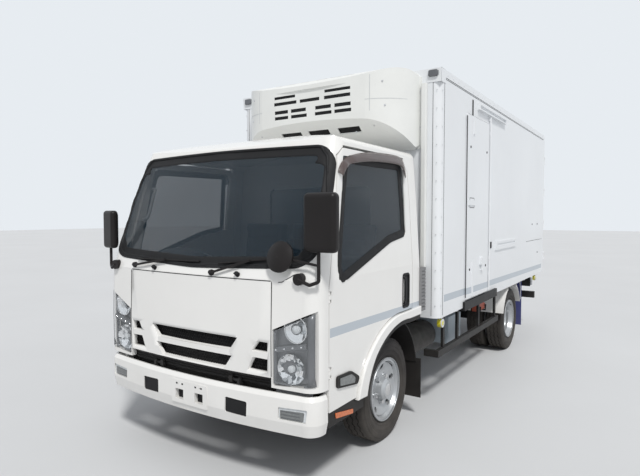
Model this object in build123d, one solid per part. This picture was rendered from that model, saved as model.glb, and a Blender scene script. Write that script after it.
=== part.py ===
from build123d import *
from math import cos, radians, sin, sqrt
import os

os.makedirs("parts", exist_ok=True)

# Refrigerated delivery truck, millimetres.
# X points to the truck's left, Y to its rear and Z up, and the ground is at Z = 0.
# Pieces are drawn with Y = 0 over the front axle and are moved, when they are written,
# so that the origin lies on the ground below the middle of the whole truck.

# Driving sizes of the chassis
WHEELBASE = 3395
FRONT_OVERHANG = 1150
FRONT_TRACK = 1680
REAR_TRACK = 1650
TWIN_SPACING = 246
TYRE_R = 392
TYRE_W = 212
RIM_R = 241
RIM_SEAT_R = 222
FRAME_WIDTH = 850
FRAME_TOP = 752
RAIL_HEIGHT = 190
RAIL_FLANGE = 62
RAIL_WALL = 7
FRAME_FRONT = -1000

# Driving sizes of the insulated box
BOX_FRONT = 680
BOX_LENGTH = 4595
BOX_WIDTH = 2200
BOX_BOTTOM = 840
BOX_TOP = 2985
WALL = 75
FRONT_WALL = 85
ROOF = 80
FLOOR = 100
POST_R = 70
REAR_POST = 62
REAR_HEADER = 90
REAR_SILL = 110
REAR_DEPTH = 110
DOOR_THICK = 80
PANEL_GAP = 5

# Rear doors and their hinges
HINGE_OUT = 46
HINGE_SIDE = 8
HINGE_PIN_R = 11
HINGE_LUG_R = 17
HINGE_LEAF = 68
LUG_HEIGHT = 25
LUG_GAP = 1
LOCK_ROD_R = 13
LOCK_X = 300
LOCK_OUT = 19

# Side door of the box
SIDE_DOOR_FRONT = 1380
SIDE_DOOR_WIDTH = 725
SIDE_DOOR_BOTTOM = 915
SIDE_DOOR_TOP = 2708
SIDE_DOOR_PROUD = 14
DOOR_LAP = 28

# Driving sizes of the cab
CAB_HALF = 1000
CAB_REAR = 481
CAB_ROOF = 2318
CAB_WALL = 42
SKIN = 26
CAB_CORNER_R = 105
BOW = 52
GLASS = 5
GLASS_SET = 8
GLASS_GAP = 1
FLOOR_LOW = 770
FLOOR_HIGH = 945
FLOOR_WALL = 25
RISER_Y = -610
TUNNEL_HALF = 300

# Doors of the cab
DOOR_FRONT_LOW = -925
DOOR_FRONT_HIGH = -725
DOOR_REAR = 335
DOOR_LOW = 512
DOOR_HIGH = 2175
DOOR_GAP = 8
SILL_BOTTOM = 412
ARCH_TOP = 930
ARCH_FRONT = -640
DOOR_AXIS_X = CAB_HALF - 4.5
DOOR_AXIS_Y = DOOR_FRONT_LOW + 2.5
DOOR_HINGES = (760, 1230)
DOOR_KNUCKLE_R = 6
DOOR_PIN_R = 3.5
KNUCKLE_HALF = 14
LUG_HALF = 34
NOTCH = 22

# Tilting axis of the cab
TILT_Y = -1078
TILT_Z = 655
TILT_PIN_R = 12

# Steering
KINGPIN_X = 700
KINGPIN_R = 16
ARM_REACH = 180
ARM_DROP = 70
TIE_PIN_R = 9
SPINDLE_R = 30
RUN_GAP = 0.3

# Derived places
REAR_AXLE = WHEELBASE
BOX_REAR = BOX_FRONT + BOX_LENGTH
BOX_HALF = BOX_WIDTH / 2
HINGE_Y = BOX_REAR + HINGE_OUT
HINGE_X = BOX_HALF - HINGE_SIDE
LENGTH = FRONT_OVERHANG + HINGE_Y + HINGE_LUG_R
FRONT_AXLE_Y = FRONT_OVERHANG - LENGTH / 2
AXLE_Z = TYRE_R
RAIL_OUT = FRAME_WIDTH / 2
RAIL_IN = RAIL_OUT - RAIL_FLANGE
RAIL_BOTTOM = FRAME_TOP - RAIL_HEIGHT
FRONT_WHEEL_X = FRONT_TRACK / 2
REAR_WHEEL_X = REAR_TRACK / 2
SIDES = (("left", 1), ("right", -1))


def save(name, shape):
    """Write one named piece, moved to the truck's own origin."""
    export_step(Pos(0, FRONT_AXLE_Y, 0) * shape, f"parts/{name}.step")


def block(x0, x1, y0, y1, z0, z1):
    """Box between two corners."""
    middle = Pos((x0 + x1) / 2, (y0 + y1) / 2, (z0 + z1) / 2)
    return middle * Box(abs(x1 - x0), abs(y1 - y0), abs(z1 - z0))


def outline(points, radius=0):
    """Closed flat shape through the points, with its corners rounded."""
    if radius:
        return make_face(FilletPolyline(*points, radius=radius, close=True))
    return make_face(Polyline(*points, close=True))


def along_x(face, x0, x1):
    """Solid from a side view drawn in (y, z)."""
    return extrude(Plane.YZ.offset(x0) * face, amount=x1 - x0)


def along_y(face, y0, y1):
    """Solid from a front view drawn in (x, z)."""
    return extrude(Plane.XZ.offset(-y1) * face, amount=y1 - y0)


def along_z(face, z0, z1):
    """Solid from a top view drawn in (x, y)."""
    return extrude(Pos(0, 0, z0) * face, amount=z1 - z0)


def rod_x(x0, x1, y, z, r):
    """Round bar along X."""
    return Pos((x0 + x1) / 2, y, z) * Rot(0, 90, 0) * Cylinder(r, abs(x1 - x0))


def rod_y(x, y0, y1, z, r):
    """Round bar along Y."""
    return Pos(x, (y0 + y1) / 2, z) * Rot(90, 0, 0) * Cylinder(r, abs(y1 - y0))


def rod_z(x, y, z0, z1, r):
    """Round bar along Z."""
    return Pos(x, y, (z0 + z1) / 2) * Cylinder(r, abs(z1 - z0))


def both(shape):
    """A left piece and its mirror image on the right."""
    return shape + mirror(shape, about=Plane.YZ)


def pair(shape):
    """A left piece and its mirror image, kept as separate solids."""
    return Compound([*shape.solids(), *mirror(shape, about=Plane.YZ).solids()])


def sided(shape, sign):
    """The piece for the side with that sign, from the left one."""
    return shape if sign > 0 else mirror(shape, about=Plane.YZ)


# Cab form

# height, front at the middle, half width
CAB_SECTIONS = (
    (360, -1122, 1000),
    (965, -1126, 1000),
    (1335, -1117, 1000),
    (1860, -943, 966),
    (2200, -797, 938),
    (2400, -720, 922),
)
ROOF_FRONT = -795
ROOF_EDGE = 2214
ROOF_SIDE = 2196
EDGE_HALF = 942


def cab_section(z, front, half, inset):
    """Outline of the cab at one height, with a bowed front and rounded corners."""
    half = half - inset
    front = front + inset
    rear = CAB_REAR - inset
    r = CAB_CORNER_R - inset / 2
    side = front + BOW
    k = r * (1 - 1 / sqrt(2))
    edges = [
        ThreePointArc((-half + r, side, z), (0, front, z), (half - r, side, z)),
        ThreePointArc((half - r, side, z), (half - k, side + k, z), (half, side + r, z)),
        Line((half, side + r, z), (half, rear, z)),
        Line((half, rear, z), (-half, rear, z)),
        Line((-half, rear, z), (-half, side + r, z)),
        ThreePointArc((-half, side + r, z), (-half + k, side + k, z), (-half + r, side, z)),
    ]
    return Face(Wire(edges))


def cab_form(inset=0):
    """Solid cab block, drawn in by a depth all round."""
    body = loft([cab_section(z, f, h, inset) for z, f, h in CAB_SECTIONS], ruled=True)
    low = 360 + inset
    top = CAB_ROOF - inset
    side_view = make_face(
        Polyline((-1400, low), (800, low), (800, top - 60), (CAB_REAR - inset, top - 60))
        + ThreePointArc((CAB_REAR - inset, top - 60), (350, top - 16), (150, top - 4))
        + Line((150, top - 4), (-320, top))
        + ThreePointArc((-320, top), (-610, top - 32), (ROOF_FRONT + inset, ROOF_EDGE - inset))
        + Polyline((ROOF_FRONT + inset, ROOF_EDGE - inset), (-1400, ROOF_EDGE - inset - 60), (-1400, low))
    )
    edge = EDGE_HALF - inset
    side_z = ROOF_SIDE - inset
    front_view = make_face(
        Polyline((-1100, low), (1100, low), (1100, side_z), (edge + 2, side_z))
        + ThreePointArc((edge + 2, side_z), (edge - 20, top - 82), (edge - 80, top - 58))
        + ThreePointArc((edge - 80, top - 58), (0, top), (80 - edge, top - 58))
        + ThreePointArc((80 - edge, top - 58), (20 - edge, top - 82), (-edge - 2, side_z))
        + Polyline((-edge - 2, side_z), (-1100, side_z), (-1100, low))
    )
    return body & along_x(side_view, -1200, 1200) & along_y(front_view, -1500, 900)


def arch_edge(d):
    """Points of the wheel arch's outer edge in (y, z), moved out by a distance."""
    return (
        (150, 972 + d),
        (-200 - 0.35 * d, 908 + 0.94 * d),
        (-440 - 0.75 * d, 745 + 0.66 * d),
        (-532 - 0.87 * d, 624 + 0.5 * d),
        (-586 - 0.96 * d, 494 + 0.25 * d),
    )


def door_face(grow=0):
    """Side view of a cab door, with its lower rear corner cut round the wheel arch."""
    g = grow
    top_y = DOOR_FRONT_HIGH
    start, upper, middle, lower, end = arch_edge(DOOR_GAP - g)
    end = (end[0] + 4, DOOR_LOW - g)
    return make_face(
        Polyline(
            end,
            (DOOR_FRONT_LOW - g, DOOR_LOW - g),
            (DOOR_FRONT_LOW - g, 1300),
            (top_y - g, DOOR_HIGH - 60 + g),
            (top_y + 60, DOOR_HIGH + g),
            (DOOR_REAR - 90, DOOR_HIGH + g),
            (DOOR_REAR + g, DOOR_HIGH - 90),
            (DOOR_REAR + g, start[1] + 3),
            start,
        )
        + ThreePointArc(start, upper, middle)
        + ThreePointArc(middle, lower, end)
    )


WINDOW_FACE = outline(
    (
        (-815, 1318),
        (-790, 1480),
        (-714, 1893),
        (-672, 2124),
        (222, 2132),
        (262, 2092),
        (238, 1592),
        (-40, 1548),
    ),
    16,
)
SCREEN_FACE = outline(
    (
        (-960, 1560),
        (-938, 1870),
        (-888, 2110),
        (-828, 2184),
        (0, 2192),
        (828, 2184),
        (888, 2110),
        (938, 1870),
        (960, 1560),
        (922, 1476),
        (840, 1428),
        (0, 1394),
        (-840, 1428),
        (-922, 1476),
    ),
    24,
)
REAR_WINDOW_FACE = outline(((-560, 1500), (560, 1500), (560, 1990), (-560, 1990)), 60)

outer = cab_form()
inner = cab_form(CAB_WALL)
shell = outer - inner
skin = outer - cab_form(SKIN)
glass_layer = cab_form(GLASS_SET) - cab_form(GLASS_SET + GLASS)

# Doors of the cab
door_prism = along_x(door_face(), 820, 1100)
door_hole = along_x(door_face(DOOR_GAP), 700, 1100)
door_shell = outer & door_prism
door_skin = door_shell - cab_form(CAB_WALL)
window_prism = along_x(WINDOW_FACE, 820, 1100)
handle_pocket = block(CAB_HALF - 16, CAB_HALF + 10, 150, 272, 1010, 1270)
door_left = door_skin - window_prism - handle_pocket
door_handle = block(CAB_HALF - 20, CAB_HALF - 4, 165, 190, 1030, 1250)
door_left = door_left + door_handle
pillar_lugs = []
for z in DOOR_HINGES:
    room = LUG_HALF + 3
    door_left = door_left - block(
        DOOR_AXIS_X - NOTCH, CAB_HALF + 10, DOOR_FRONT_LOW - 1, DOOR_AXIS_Y + NOTCH, z - room, z + room
    )
    knuckle = rod_z(DOOR_AXIS_X, DOOR_AXIS_Y, z - KNUCKLE_HALF, z + KNUCKLE_HALF, DOOR_KNUCKLE_R)
    knuckle = knuckle + block(
        DOOR_AXIS_X - 5, DOOR_AXIS_X + 5, DOOR_AXIS_Y, DOOR_AXIS_Y + NOTCH, z - KNUCKLE_HALF, z + KNUCKLE_HALF
    )
    pin = rod_z(DOOR_AXIS_X, DOOR_AXIS_Y, z - LUG_HALF, z + LUG_HALF, DOOR_PIN_R)
    door_left = door_left + knuckle + pin
    for low, high in ((z - LUG_HALF, z - KNUCKLE_HALF - 1), (z + KNUCKLE_HALF + 1, z + LUG_HALF)):
        lug = rod_z(DOOR_AXIS_X, DOOR_AXIS_Y, low, high, DOOR_KNUCKLE_R)
        lug = lug + block(DOOR_AXIS_X - 12, DOOR_AXIS_X + 3, DOOR_FRONT_LOW - 20, DOOR_AXIS_Y, low, high)
        lug = lug - rod_z(DOOR_AXIS_X, DOOR_AXIS_Y, low - 1, high + 1, DOOR_PIN_R + RUN_GAP)
        pillar_lugs.append(lug)
door_glass = glass_layer & along_x(offset(WINDOW_FACE, -GLASS_GAP), 820, 1100)
for side, sign in SIDES:
    save(f"door_{side}", sided(door_left, sign))
    save(f"door_{side}_glass", sided(door_glass, sign))

# Cab shell, split at its roof, back, floor and front
rear_cut = outline(((ARCH_FRONT, 300), (700, 300), (700, ARCH_TOP), (0, ARCH_TOP), (-400, 820)))
lower_rear = along_x(rear_cut, -1100, 1100)
FRONT_LOW = 662
tub_space = block(-1100, 1100, -1300, 700, 300, FRONT_LOW)
holes = both(door_hole)
screen_hole = along_y(SCREEN_FACE, -1300, -600)
ROOF_SPLIT = 2192
BACK_SPLIT = CAB_REAR - CAB_WALL
frame_shell = shell - holes - lower_rear - tub_space
cab_roof = frame_shell & block(-1100, 1100, -1300, 700, ROOF_SPLIT, 2400)
save("cab_roof", cab_roof)
cab_sides = frame_shell & block(-1100, 1100, DOOR_REAR - 60, 700, ARCH_TOP, ROOF_SPLIT)
cab_back = cab_sides - along_y(REAR_WINDOW_FACE, 300, 700)
save("cab_back", cab_back)

# Front skin: the panel with its slots, and the lamps let into the corners
PANEL_HALF = 677
PANEL_LOW = 722
PANEL_HIGH = 1325
LAMP_FACE = outline(((692, 682), (692, 1022), (1030, 1176), (1030, 704)), 12)
LAMP_HOLE = outline(((688, 676), (688, 1026), (1040, 1184), (1040, 698)), 12)
LAMP_REAR = -1020
panel_face = outline(
    (
        (-PANEL_HALF, PANEL_LOW),
        (PANEL_HALF, PANEL_LOW),
        (PANEL_HALF + 3, PANEL_HIGH),
        (-PANEL_HALF - 3, PANEL_HIGH),
    ),
    6,
)
panel_prism = along_y(panel_face, -1300, -850)
panel_hole = along_y(offset(panel_face, 3), -1300, -850)
lamp_prism = along_y(LAMP_FACE, -1300, LAMP_REAR - 3)
lamp_hole = along_y(LAMP_HOLE, -1300, LAMP_REAR)

# half width at top, z at top, half width at bottom, z at bottom
SLOTS = (
    (409, 937, 353, 886),
    (360, 797, 305, 755),
)
# inner x at top, inner x at bottom, outer x at bottom, outer x at top, z top, z bottom
SIDE_SLOTS = (
    (576, 540, 646, 648, 936, 890),
    (543, 508, 644, 647, 826, 772),
)
grille = panel_prism & skin
for half_top, z_top, half_low, z_low in SLOTS:
    slot = outline(((-half_top, z_top), (half_top, z_top), (half_low, z_low), (-half_low, z_low)), 8)
    grille = grille - along_y(slot, -1300, -850)
for in_top, in_low, out_low, out_top, z_top, z_low in SIDE_SLOTS:
    slot = outline(((in_top, z_top), (in_low, z_low), (out_low, z_low), (out_top, z_top)), 6)
    grille = grille - both(along_y(slot, -1300, -850))
save("front_panel", grille)

lamp_back = cab_form(CAB_WALL + RUN_GAP) - cab_form(70)
lamp_back = lamp_back & along_y(offset(LAMP_FACE, 14), -1300, LAMP_REAR + 12)
lamp_body = (outer - cab_form(60)) & lamp_prism
lamp_body = lamp_body + lamp_back
save("headlamps", pair(lamp_body))

front_low = frame_shell & block(-1100, 1100, -1300, DOOR_FRONT_HIGH + 60, FRONT_LOW, ROOF_SPLIT)
panel_seat = along_y(offset(panel_face, -16), -1300, -850)
panel_room = panel_hole - cab_form(SKIN + RUN_GAP)
cab_front = front_low - screen_hole - both(lamp_hole) - panel_room - panel_seat
cab_front = cab_front - block(-PANEL_HALF - 3, PANEL_HALF + 3, -1300, -950, 300, PANEL_LOW + 10)
for lug in pillar_lugs:
    cab_front = cab_front + both(lug)
save("cab_front", cab_front)

screen = glass_layer & along_y(offset(SCREEN_FACE, -GLASS_GAP), -1300, -600)
rear_glass = along_y(offset(REAR_WINDOW_FACE, -GLASS_GAP), CAB_REAR - 22, CAB_REAR - 16)
save("cab_glass", Compound([*screen.solids(), *rear_glass.solids()]))

# Floor: foot wells in front, a step up over the wheels and the engine's tunnel
floor_in = cab_form(CAB_WALL + RUN_GAP)
floor_low = block(-1100, 1100, -1150, RISER_Y, FLOOR_LOW, FLOOR_LOW + FLOOR_WALL)
riser = block(-1100, 1100, RISER_Y - FLOOR_WALL, RISER_Y, FLOOR_LOW, FLOOR_HIGH + FLOOR_WALL)
floor_high = block(-1100, 1100, RISER_Y, CAB_REAR + 50, FLOOR_HIGH, FLOOR_HIGH + FLOOR_WALL)
TUNNEL_FRONT = -960
tunnel = block(-TUNNEL_HALF, TUNNEL_HALF, TUNNEL_FRONT, RISER_Y, FLOOR_LOW, FLOOR_HIGH + FLOOR_WALL)
tunnel = tunnel - block(
    -TUNNEL_HALF + 20, TUNNEL_HALF - 20, TUNNEL_FRONT + 20, RISER_Y + 30, FLOOR_LOW - 40, FLOOR_HIGH
)
door_room = along_x(door_face(DOOR_GAP), CAB_HALF - CAB_WALL - DOOR_GAP, 1100)
cab_floor = (floor_low + riser + floor_high + tunnel) & floor_in
lamp_room = along_y(offset(LAMP_FACE, 20), -1300, LAMP_REAR + 20)
cab_floor = cab_floor - both(door_room) - both(lamp_room)
STEP_IN = 880
STEP_OUT = 992
STEP_REAR = -596
SILL_REAR = -470
step = block(STEP_IN, STEP_OUT, DOOR_FRONT_LOW, STEP_REAR, SILL_BOTTOM, SILL_BOTTOM + 24)
step = step + block(STEP_OUT - 20, STEP_OUT, DOOR_FRONT_LOW, STEP_REAR, SILL_BOTTOM, DOOR_LOW - DOOR_GAP)
step = step + block(STEP_OUT - 20, STEP_OUT, STEP_REAR, SILL_REAR, SILL_BOTTOM, SILL_BOTTOM + 72)
step = step + block(STEP_IN, STEP_IN + 12, DOOR_FRONT_LOW, RISER_Y - 48, SILL_BOTTOM, FLOOR_LOW)
for sign in (-1, 1):
    hinge_x0 = sign * (RAIL_IN - 40)
    hinge_x1 = sign * (RAIL_IN - 10)
    ear_view = outline(
        (
            (TILT_Y - 20, TILT_Z - 20),
            (TILT_Y + 28, TILT_Z - 20),
            (-950, FLOOR_LOW + 5),
            (-1015, FLOOR_LOW + 5),
            (-1050, PANEL_LOW),
            (TILT_Y - 20, TILT_Z + 22),
        ),
        6,
    )
    ear = along_x(ear_view, min(hinge_x0, hinge_x1), max(hinge_x0, hinge_x1))
    cab_floor = cab_floor + ear - rod_x(sign * 300, sign * 400, TILT_Y, TILT_Z, TILT_PIN_R + RUN_GAP)

# Dashboard, steering wheel and seats
DASH_HALF = 908
dash_view = outline(((-1085, 1160), (-1085, 1372), (-860, 1398), (-710, 1330), (-730, 1140)), 25)
dash = along_x(dash_view, -DASH_HALF, DASH_HALF) & cab_form(CAB_WALL + RUN_GAP)

WHEEL_X = -430
STEER_R = 205
STEER_GRIP = 14
STEER_Y = -560
STEER_Z = 1330
STEER_TILT = -38
COLUMN_R = 26
rim = Torus(STEER_R, STEER_GRIP)
hub = Cylinder(55, 40)
spokes = Box(2 * STEER_R, 34, 14) + Pos(0, -STEER_R / 2, 0) * Box(34, STEER_R, 14)
column = Pos(0, 0, -140) * Cylinder(COLUMN_R, 260)
wheel_place = Pos(WHEEL_X, STEER_Y, STEER_Z) * Rot(STEER_TILT, 0, 0)
save("steering_wheel", wheel_place * (rim + hub + spokes + column))
save("dashboard", dash - wheel_place * Pos(0, 0, -200) * Cylinder(COLUMN_R + RUN_GAP, 400))

SEAT_TOP = 1120
SEAT_LOW = FLOOR_HIGH + FLOOR_WALL + RUN_GAP
# left edge, right edge of each seat
SEATS = ((-690, -180), (-140, 200), (240, 740))
seats = []
for x0, x1 in SEATS:
    cushion = fillet(block(x0, x1, -420, 120, SEAT_LOW, SEAT_TOP).edges(), 35)
    rest_view = outline(((122, SEAT_LOW), (122, 1130), (185, 1690), (310, 1690), (290, SEAT_LOW)), 25)
    rest = along_x(rest_view, x0 + 10, x1 - 10)
    seats += [cushion, rest]
save("seats", Compound([s for seat in seats for s in seat.solids()]))

# White flares over the front wheels, each with a black liner inside
FLARE_IN = CAB_HALF - CAB_WALL + RUN_GAP
FLARE_OUT = 1024
LINER_OUT = 1012
LINER_DEPTH = 34


def arch_band(outer_edge, inner_edge):
    """Side view of the band between two edges of the wheel arch."""
    start, upper, middle, lower, end = outer_edge
    start_in, upper_in, middle_in, lower_in, end_in = inner_edge
    return make_face(
        Line((CAB_REAR, start[1] + 6), start)
        + ThreePointArc(start, upper, middle)
        + ThreePointArc(middle, lower, end)
        + Line(end, end_in)
        + ThreePointArc(end_in, lower_in, middle_in)
        + ThreePointArc(middle_in, upper_in, start_in)
        + Polyline(start_in, (CAB_REAR, start_in[1]), (CAB_REAR, start[1] + 6))
    )


INNER_EDGE = ((250, 908), (-110, 864), (-330, 735), (-420, 610), (-464, 488))
# share of the liner's depth inwards along y and z at each point of the edge
LINER_TURN = ((0, 1), (0.3, 0.95), (0.7, 0.7), (0.85, 0.5), (0.95, 0.25))
LINER_EDGE = [(y + LINER_DEPTH * a, z - LINER_DEPTH * b) for (y, z), (a, b) in zip(INNER_EDGE, LINER_TURN)]
flare = along_x(arch_band(arch_edge(0), INNER_EDGE), FLARE_IN, FLARE_OUT)
flare = fillet(flare.faces().sort_by(Axis.X)[-1].edges(), 9)
side_skin = block(900, CAB_HALF + RUN_GAP, DOOR_REAR - 60 - RUN_GAP, CAB_REAR + 1, ARCH_TOP - RUN_GAP, 1100)
save("arch_flares", pair(flare - side_skin))
liner = along_x(arch_band(INNER_EDGE, LINER_EDGE), FLARE_IN, LINER_OUT)
liner = liner & block(900, 1100, -700, CAB_REAR, 300, 908 - RUN_GAP)
save("cab_floor", Compound([*cab_floor.solids(), *pair(step).solids(), *pair(liner).solids()]))

# Air intake behind the cab
INTAKE_IN = 892
INTAKE_OUT = 1018
INTAKE_REAR = 592
intake = block(INTAKE_IN, INTAKE_OUT, CAB_REAR, INTAKE_REAR, ARCH_TOP, 1292).edges().filter_by(Axis.Z)
intake = fillet(intake, 14)
for i in range(11):
    z = 960 + 30 * i
    groove = block(INTAKE_IN - 8, INTAKE_OUT + 8, CAB_REAR + 12, INTAKE_REAR + 8, z, z + 8)
    intake = intake - (groove - block(INTAKE_IN + 8, INTAKE_OUT - 8, CAB_REAR, INTAKE_REAR - 8, z - 1, z + 9))
save("air_intake", intake)

# Mirrors: a tall head on a tube, and a small round one below it
mirror_head = fillet(block(910, 1136, -1092, -1012, 1515, 1868).edges(), 32)
TUBE_R = 11
TUBE_X = 1008
TUBE_Y = -1056
TUBE_LOW = 1320
TUBE_TOP = 1540
FOOT_X = 880
FOOT_Z = 1350
foot = rod_y(FOOT_X, -1092, -950, FOOT_Z, 36) - outer


def mirror_tube(x, y):
    """Tube from the foot down and out to (x, y), then up into the mirror's head."""
    start = (FOOT_X, -1088, FOOT_Z)
    bend = (x - 50, TUBE_Y - 24, TUBE_LOW)
    path = FilletPolyline(start, bend, (x, y, TUBE_LOW + 20), (x, y, TUBE_TOP), radius=18)
    return sweep(Plane(origin=path @ 0, z_dir=path % 0) * Circle(TUBE_R), path=path)


UNDER_X = 752
UNDER_Z = 1481
UNDER_R = 97
under_place = Pos(UNDER_X, -1096, UNDER_Z) * Rot(76, 0, 0)
DOME_R = 194
under = under_place * (Pos(0, 0, 13) * Cylinder(UNDER_R, 40) & Pos(0, 0, 33 - DOME_R) * Sphere(DOME_R))
stalk_path = Line((UNDER_X, -1100, UNDER_Z), (TUBE_X, TUBE_Y, 1436))
stalk = sweep(Plane(origin=stalk_path @ 0, z_dir=stalk_path % 0) * Circle(8), path=stalk_path)
mirrors = [*(mirror_head + foot + mirror_tube(TUBE_X, TUBE_Y) + under + stalk).solids()]
# the driver's side has a smaller head, turned in towards the seat
SMALL_HEAD = (170, 60, 297)
SMALL_X = 980
SMALL_Y = -1052
SMALL_Z = 1623
SMALL_TURN = 12
small_head = Pos(SMALL_X, SMALL_Y, SMALL_Z) * Rot(0, 0, SMALL_TURN) * fillet(Box(*SMALL_HEAD).edges(), 26)
driver_mirror = small_head + foot + mirror_tube(SMALL_X, SMALL_Y)
mirrors += [*mirror(driver_mirror, about=Plane.YZ).solids()]
save("mirrors", Compound(mirrors))

# Bumper: a bowed skin with its ends turned back, openings and lamp pockets
BUMPER_LOW = 385
BUMPER_HIGH = 634
BUMPER_REAR = -940
BUMPER_HALF = 1000
BUMPER_SKIN = 30
BUMPER_BOW = 70
BUMPER_CREASE = 462
BUMPER_TURN = 606


def bumper_plan(inset):
    """Top view of the bumper's bow."""
    half = BUMPER_HALF - inset
    front = -FRONT_OVERHANG + inset
    side = front + BUMPER_BOW
    r = CAB_CORNER_R - inset / 2
    k = r * (1 - 1 / sqrt(2))
    return make_face(
        ThreePointArc((-half + r, side), (0, front), (half - r, side))
        + ThreePointArc((half - r, side), (half - k, side + k), (half, side + r))
        + Polyline((half, side + r), (half, BUMPER_REAR), (-half, BUMPER_REAR), (-half, side + r))
        + ThreePointArc((-half, side + r), (-half + k, side + k), (-half + r, side))
    )


# height and draw-in of the bumper's lower edge, crease, upper turn and top
BUMPER_LEVELS = ((BUMPER_LOW, 16), (BUMPER_CREASE, 0), (BUMPER_TURN, 3), (BUMPER_HIGH, 18))
bumper = loft([Pos(0, 0, z) * bumper_plan(inset) for z, inset in BUMPER_LEVELS], ruled=True)
bumper = bumper - along_z(bumper_plan(BUMPER_SKIN), BUMPER_LOW - 10, BUMPER_HIGH + 10)
bumper = bumper - block(-BUMPER_HALF + BUMPER_SKIN, BUMPER_HALF - BUMPER_SKIN, -1000, -800, 300, 700)
opening = outline(((325, 452), (500, 446), (503, 545), (328, 552)), 12)
bumper = bumper - both(along_y(opening, -1300, -1000))
fog_face = outline(((735, 478), (925, 478), (935, 560), (735, 552)), 10)
bumper = bumper - both(along_y(fog_face, -1300, -960))
PLATE_HOLE = 105
PLATE_FRONT = -FRONT_OVERHANG
PLATE_HOLE_Z = 565
plate_seat = block(-170, 170, PLATE_FRONT, PLATE_FRONT + 30, 430, 590) - along_z(bumper_plan(12), 380, 600)
bumper = bumper + plate_seat
for x in (-94, 94):
    bumper = bumper - block(x - 39, x + 39, PLATE_FRONT - 10, -1060, 457, 527)
for x in (-PLATE_HOLE, PLATE_HOLE):
    bumper = bumper - rod_y(x, -1400, -1000, PLATE_HOLE_Z, 4)
STAY_REAR = FRAME_FRONT + 60
bumper_stay = block(RAIL_IN, RAIL_OUT, -1125, STAY_REAR, 500, RAIL_BOTTOM - RUN_GAP)
bumper = bumper + both(bumper_stay)
save("front_bumper", bumper)

# Chassis frame: two channel rails and their cross members
rail = block(RAIL_IN, RAIL_OUT, FRAME_FRONT, BOX_REAR - 60, RAIL_BOTTOM, FRAME_TOP)
WEB_IN = RAIL_OUT - RAIL_WALL
RAIL_ROOM = (RAIL_BOTTOM + RAIL_WALL, FRAME_TOP - RAIL_WALL)
rail = rail - block(RAIL_IN - 1, WEB_IN, FRAME_FRONT - 1, BOX_REAR, *RAIL_ROOM)
frame = [*pair(rail).solids()]
# places of the cross members behind the front axle
CROSS_MEMBERS = (-880, 1080, 1640, 2200, 2760, 3395, 4010, 4590, 5170)
for y in CROSS_MEMBERS:
    member = block(-WEB_IN, WEB_IN, y - 30, y + 30, RAIL_BOTTOM + 30, FRAME_TOP - 30)
    member = member - block(-RAIL_IN, RAIL_IN, y - 24, y + 31, RAIL_BOTTOM + 36, FRAME_TOP - 36)
    frame.append(member)
EAR_LOW = RAIL_BOTTOM + RAIL_WALL
ear_view = outline(
    (
        (TILT_Y - 22, TILT_Z - 30),
        (TILT_Y + 22, EAR_LOW),
        (FRAME_FRONT + 60, EAR_LOW),
        (FRAME_FRONT + 60, TILT_Z + 20),
        (TILT_Y, TILT_Z + 22),
        (TILT_Y - 22, TILT_Z + 10),
    ),
    6,
)
ear = along_x(ear_view, WEB_IN - 20, WEB_IN)
ear = ear + rod_x(RAIL_IN - 46, WEB_IN, TILT_Y, TILT_Z, TILT_PIN_R)
frame += [*pair(ear).solids()]
save("chassis_frame", Compound(frame))

# Insulated box
floor_half = BOX_HALF - WALL
FLOOR_REAR = BOX_REAR - REAR_DEPTH
floor = block(-floor_half, floor_half, BOX_FRONT + FRONT_WALL, FLOOR_REAR, BOX_BOTTOM, BOX_BOTTOM + FLOOR)
SUBFRAME = 48
BEARER_HALF = BOX_HALF - 60
BEARER_PITCH = 420
BEARER_W = 50
BEARERS = [BOX_FRONT + 220 + BEARER_PITCH * i for i in range(11)]
for y in BEARERS:
    floor = floor + block(-BEARER_HALF, BEARER_HALF, y, y + BEARER_W, FRAME_TOP + SUBFRAME, BOX_BOTTOM)
for sign in (-1, 1):
    x0 = sign * (RAIL_IN + 4)
    x1 = sign * RAIL_OUT
    floor = floor + block(x0, x1, BOX_FRONT + 60, BOX_REAR - REAR_DEPTH, FRAME_TOP, BOX_BOTTOM)
save("box_floor", floor)
post_mid = POST_R * (1 - 1 / sqrt(2))
front_plan = make_face(
    Polyline(
        (-BOX_HALF, BOX_FRONT + POST_R),
        (-BOX_HALF, BOX_FRONT + FRONT_WALL),
        (BOX_HALF, BOX_FRONT + FRONT_WALL),
        (BOX_HALF, BOX_FRONT + POST_R),
    )
    + ThreePointArc(
        (BOX_HALF, BOX_FRONT + POST_R),
        (BOX_HALF - post_mid, BOX_FRONT + post_mid),
        (BOX_HALF - POST_R, BOX_FRONT),
    )
    + Line((BOX_HALF - POST_R, BOX_FRONT), (POST_R - BOX_HALF, BOX_FRONT))
    + ThreePointArc(
        (POST_R - BOX_HALF, BOX_FRONT),
        (post_mid - BOX_HALF, BOX_FRONT + post_mid),
        (-BOX_HALF, BOX_FRONT + POST_R),
    )
)
front_wall = along_z(front_plan, BOX_BOTTOM, BOX_TOP)
save("box_front_wall", front_wall)
wall_y0 = BOX_FRONT + FRONT_WALL
wall_y1 = BOX_REAR - REAR_DEPTH
wall_z0 = BOX_BOTTOM
wall_z1 = BOX_TOP - ROOF
side_wall = block(BOX_HALF - WALL, BOX_HALF, wall_y0, wall_y1, wall_z0, wall_z1)
save("box_right_wall", mirror(side_wall, about=Plane.YZ))
SIDE_DOOR_REAR = SIDE_DOOR_FRONT + SIDE_DOOR_WIDTH
door_cut = block(
    BOX_HALF - WALL - 10,
    BOX_HALF + 10,
    SIDE_DOOR_FRONT + DOOR_LAP - PANEL_GAP,
    SIDE_DOOR_REAR - DOOR_LAP + PANEL_GAP,
    SIDE_DOOR_BOTTOM + DOOR_LAP - PANEL_GAP,
    SIDE_DOOR_TOP - DOOR_LAP + PANEL_GAP,
)
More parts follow.
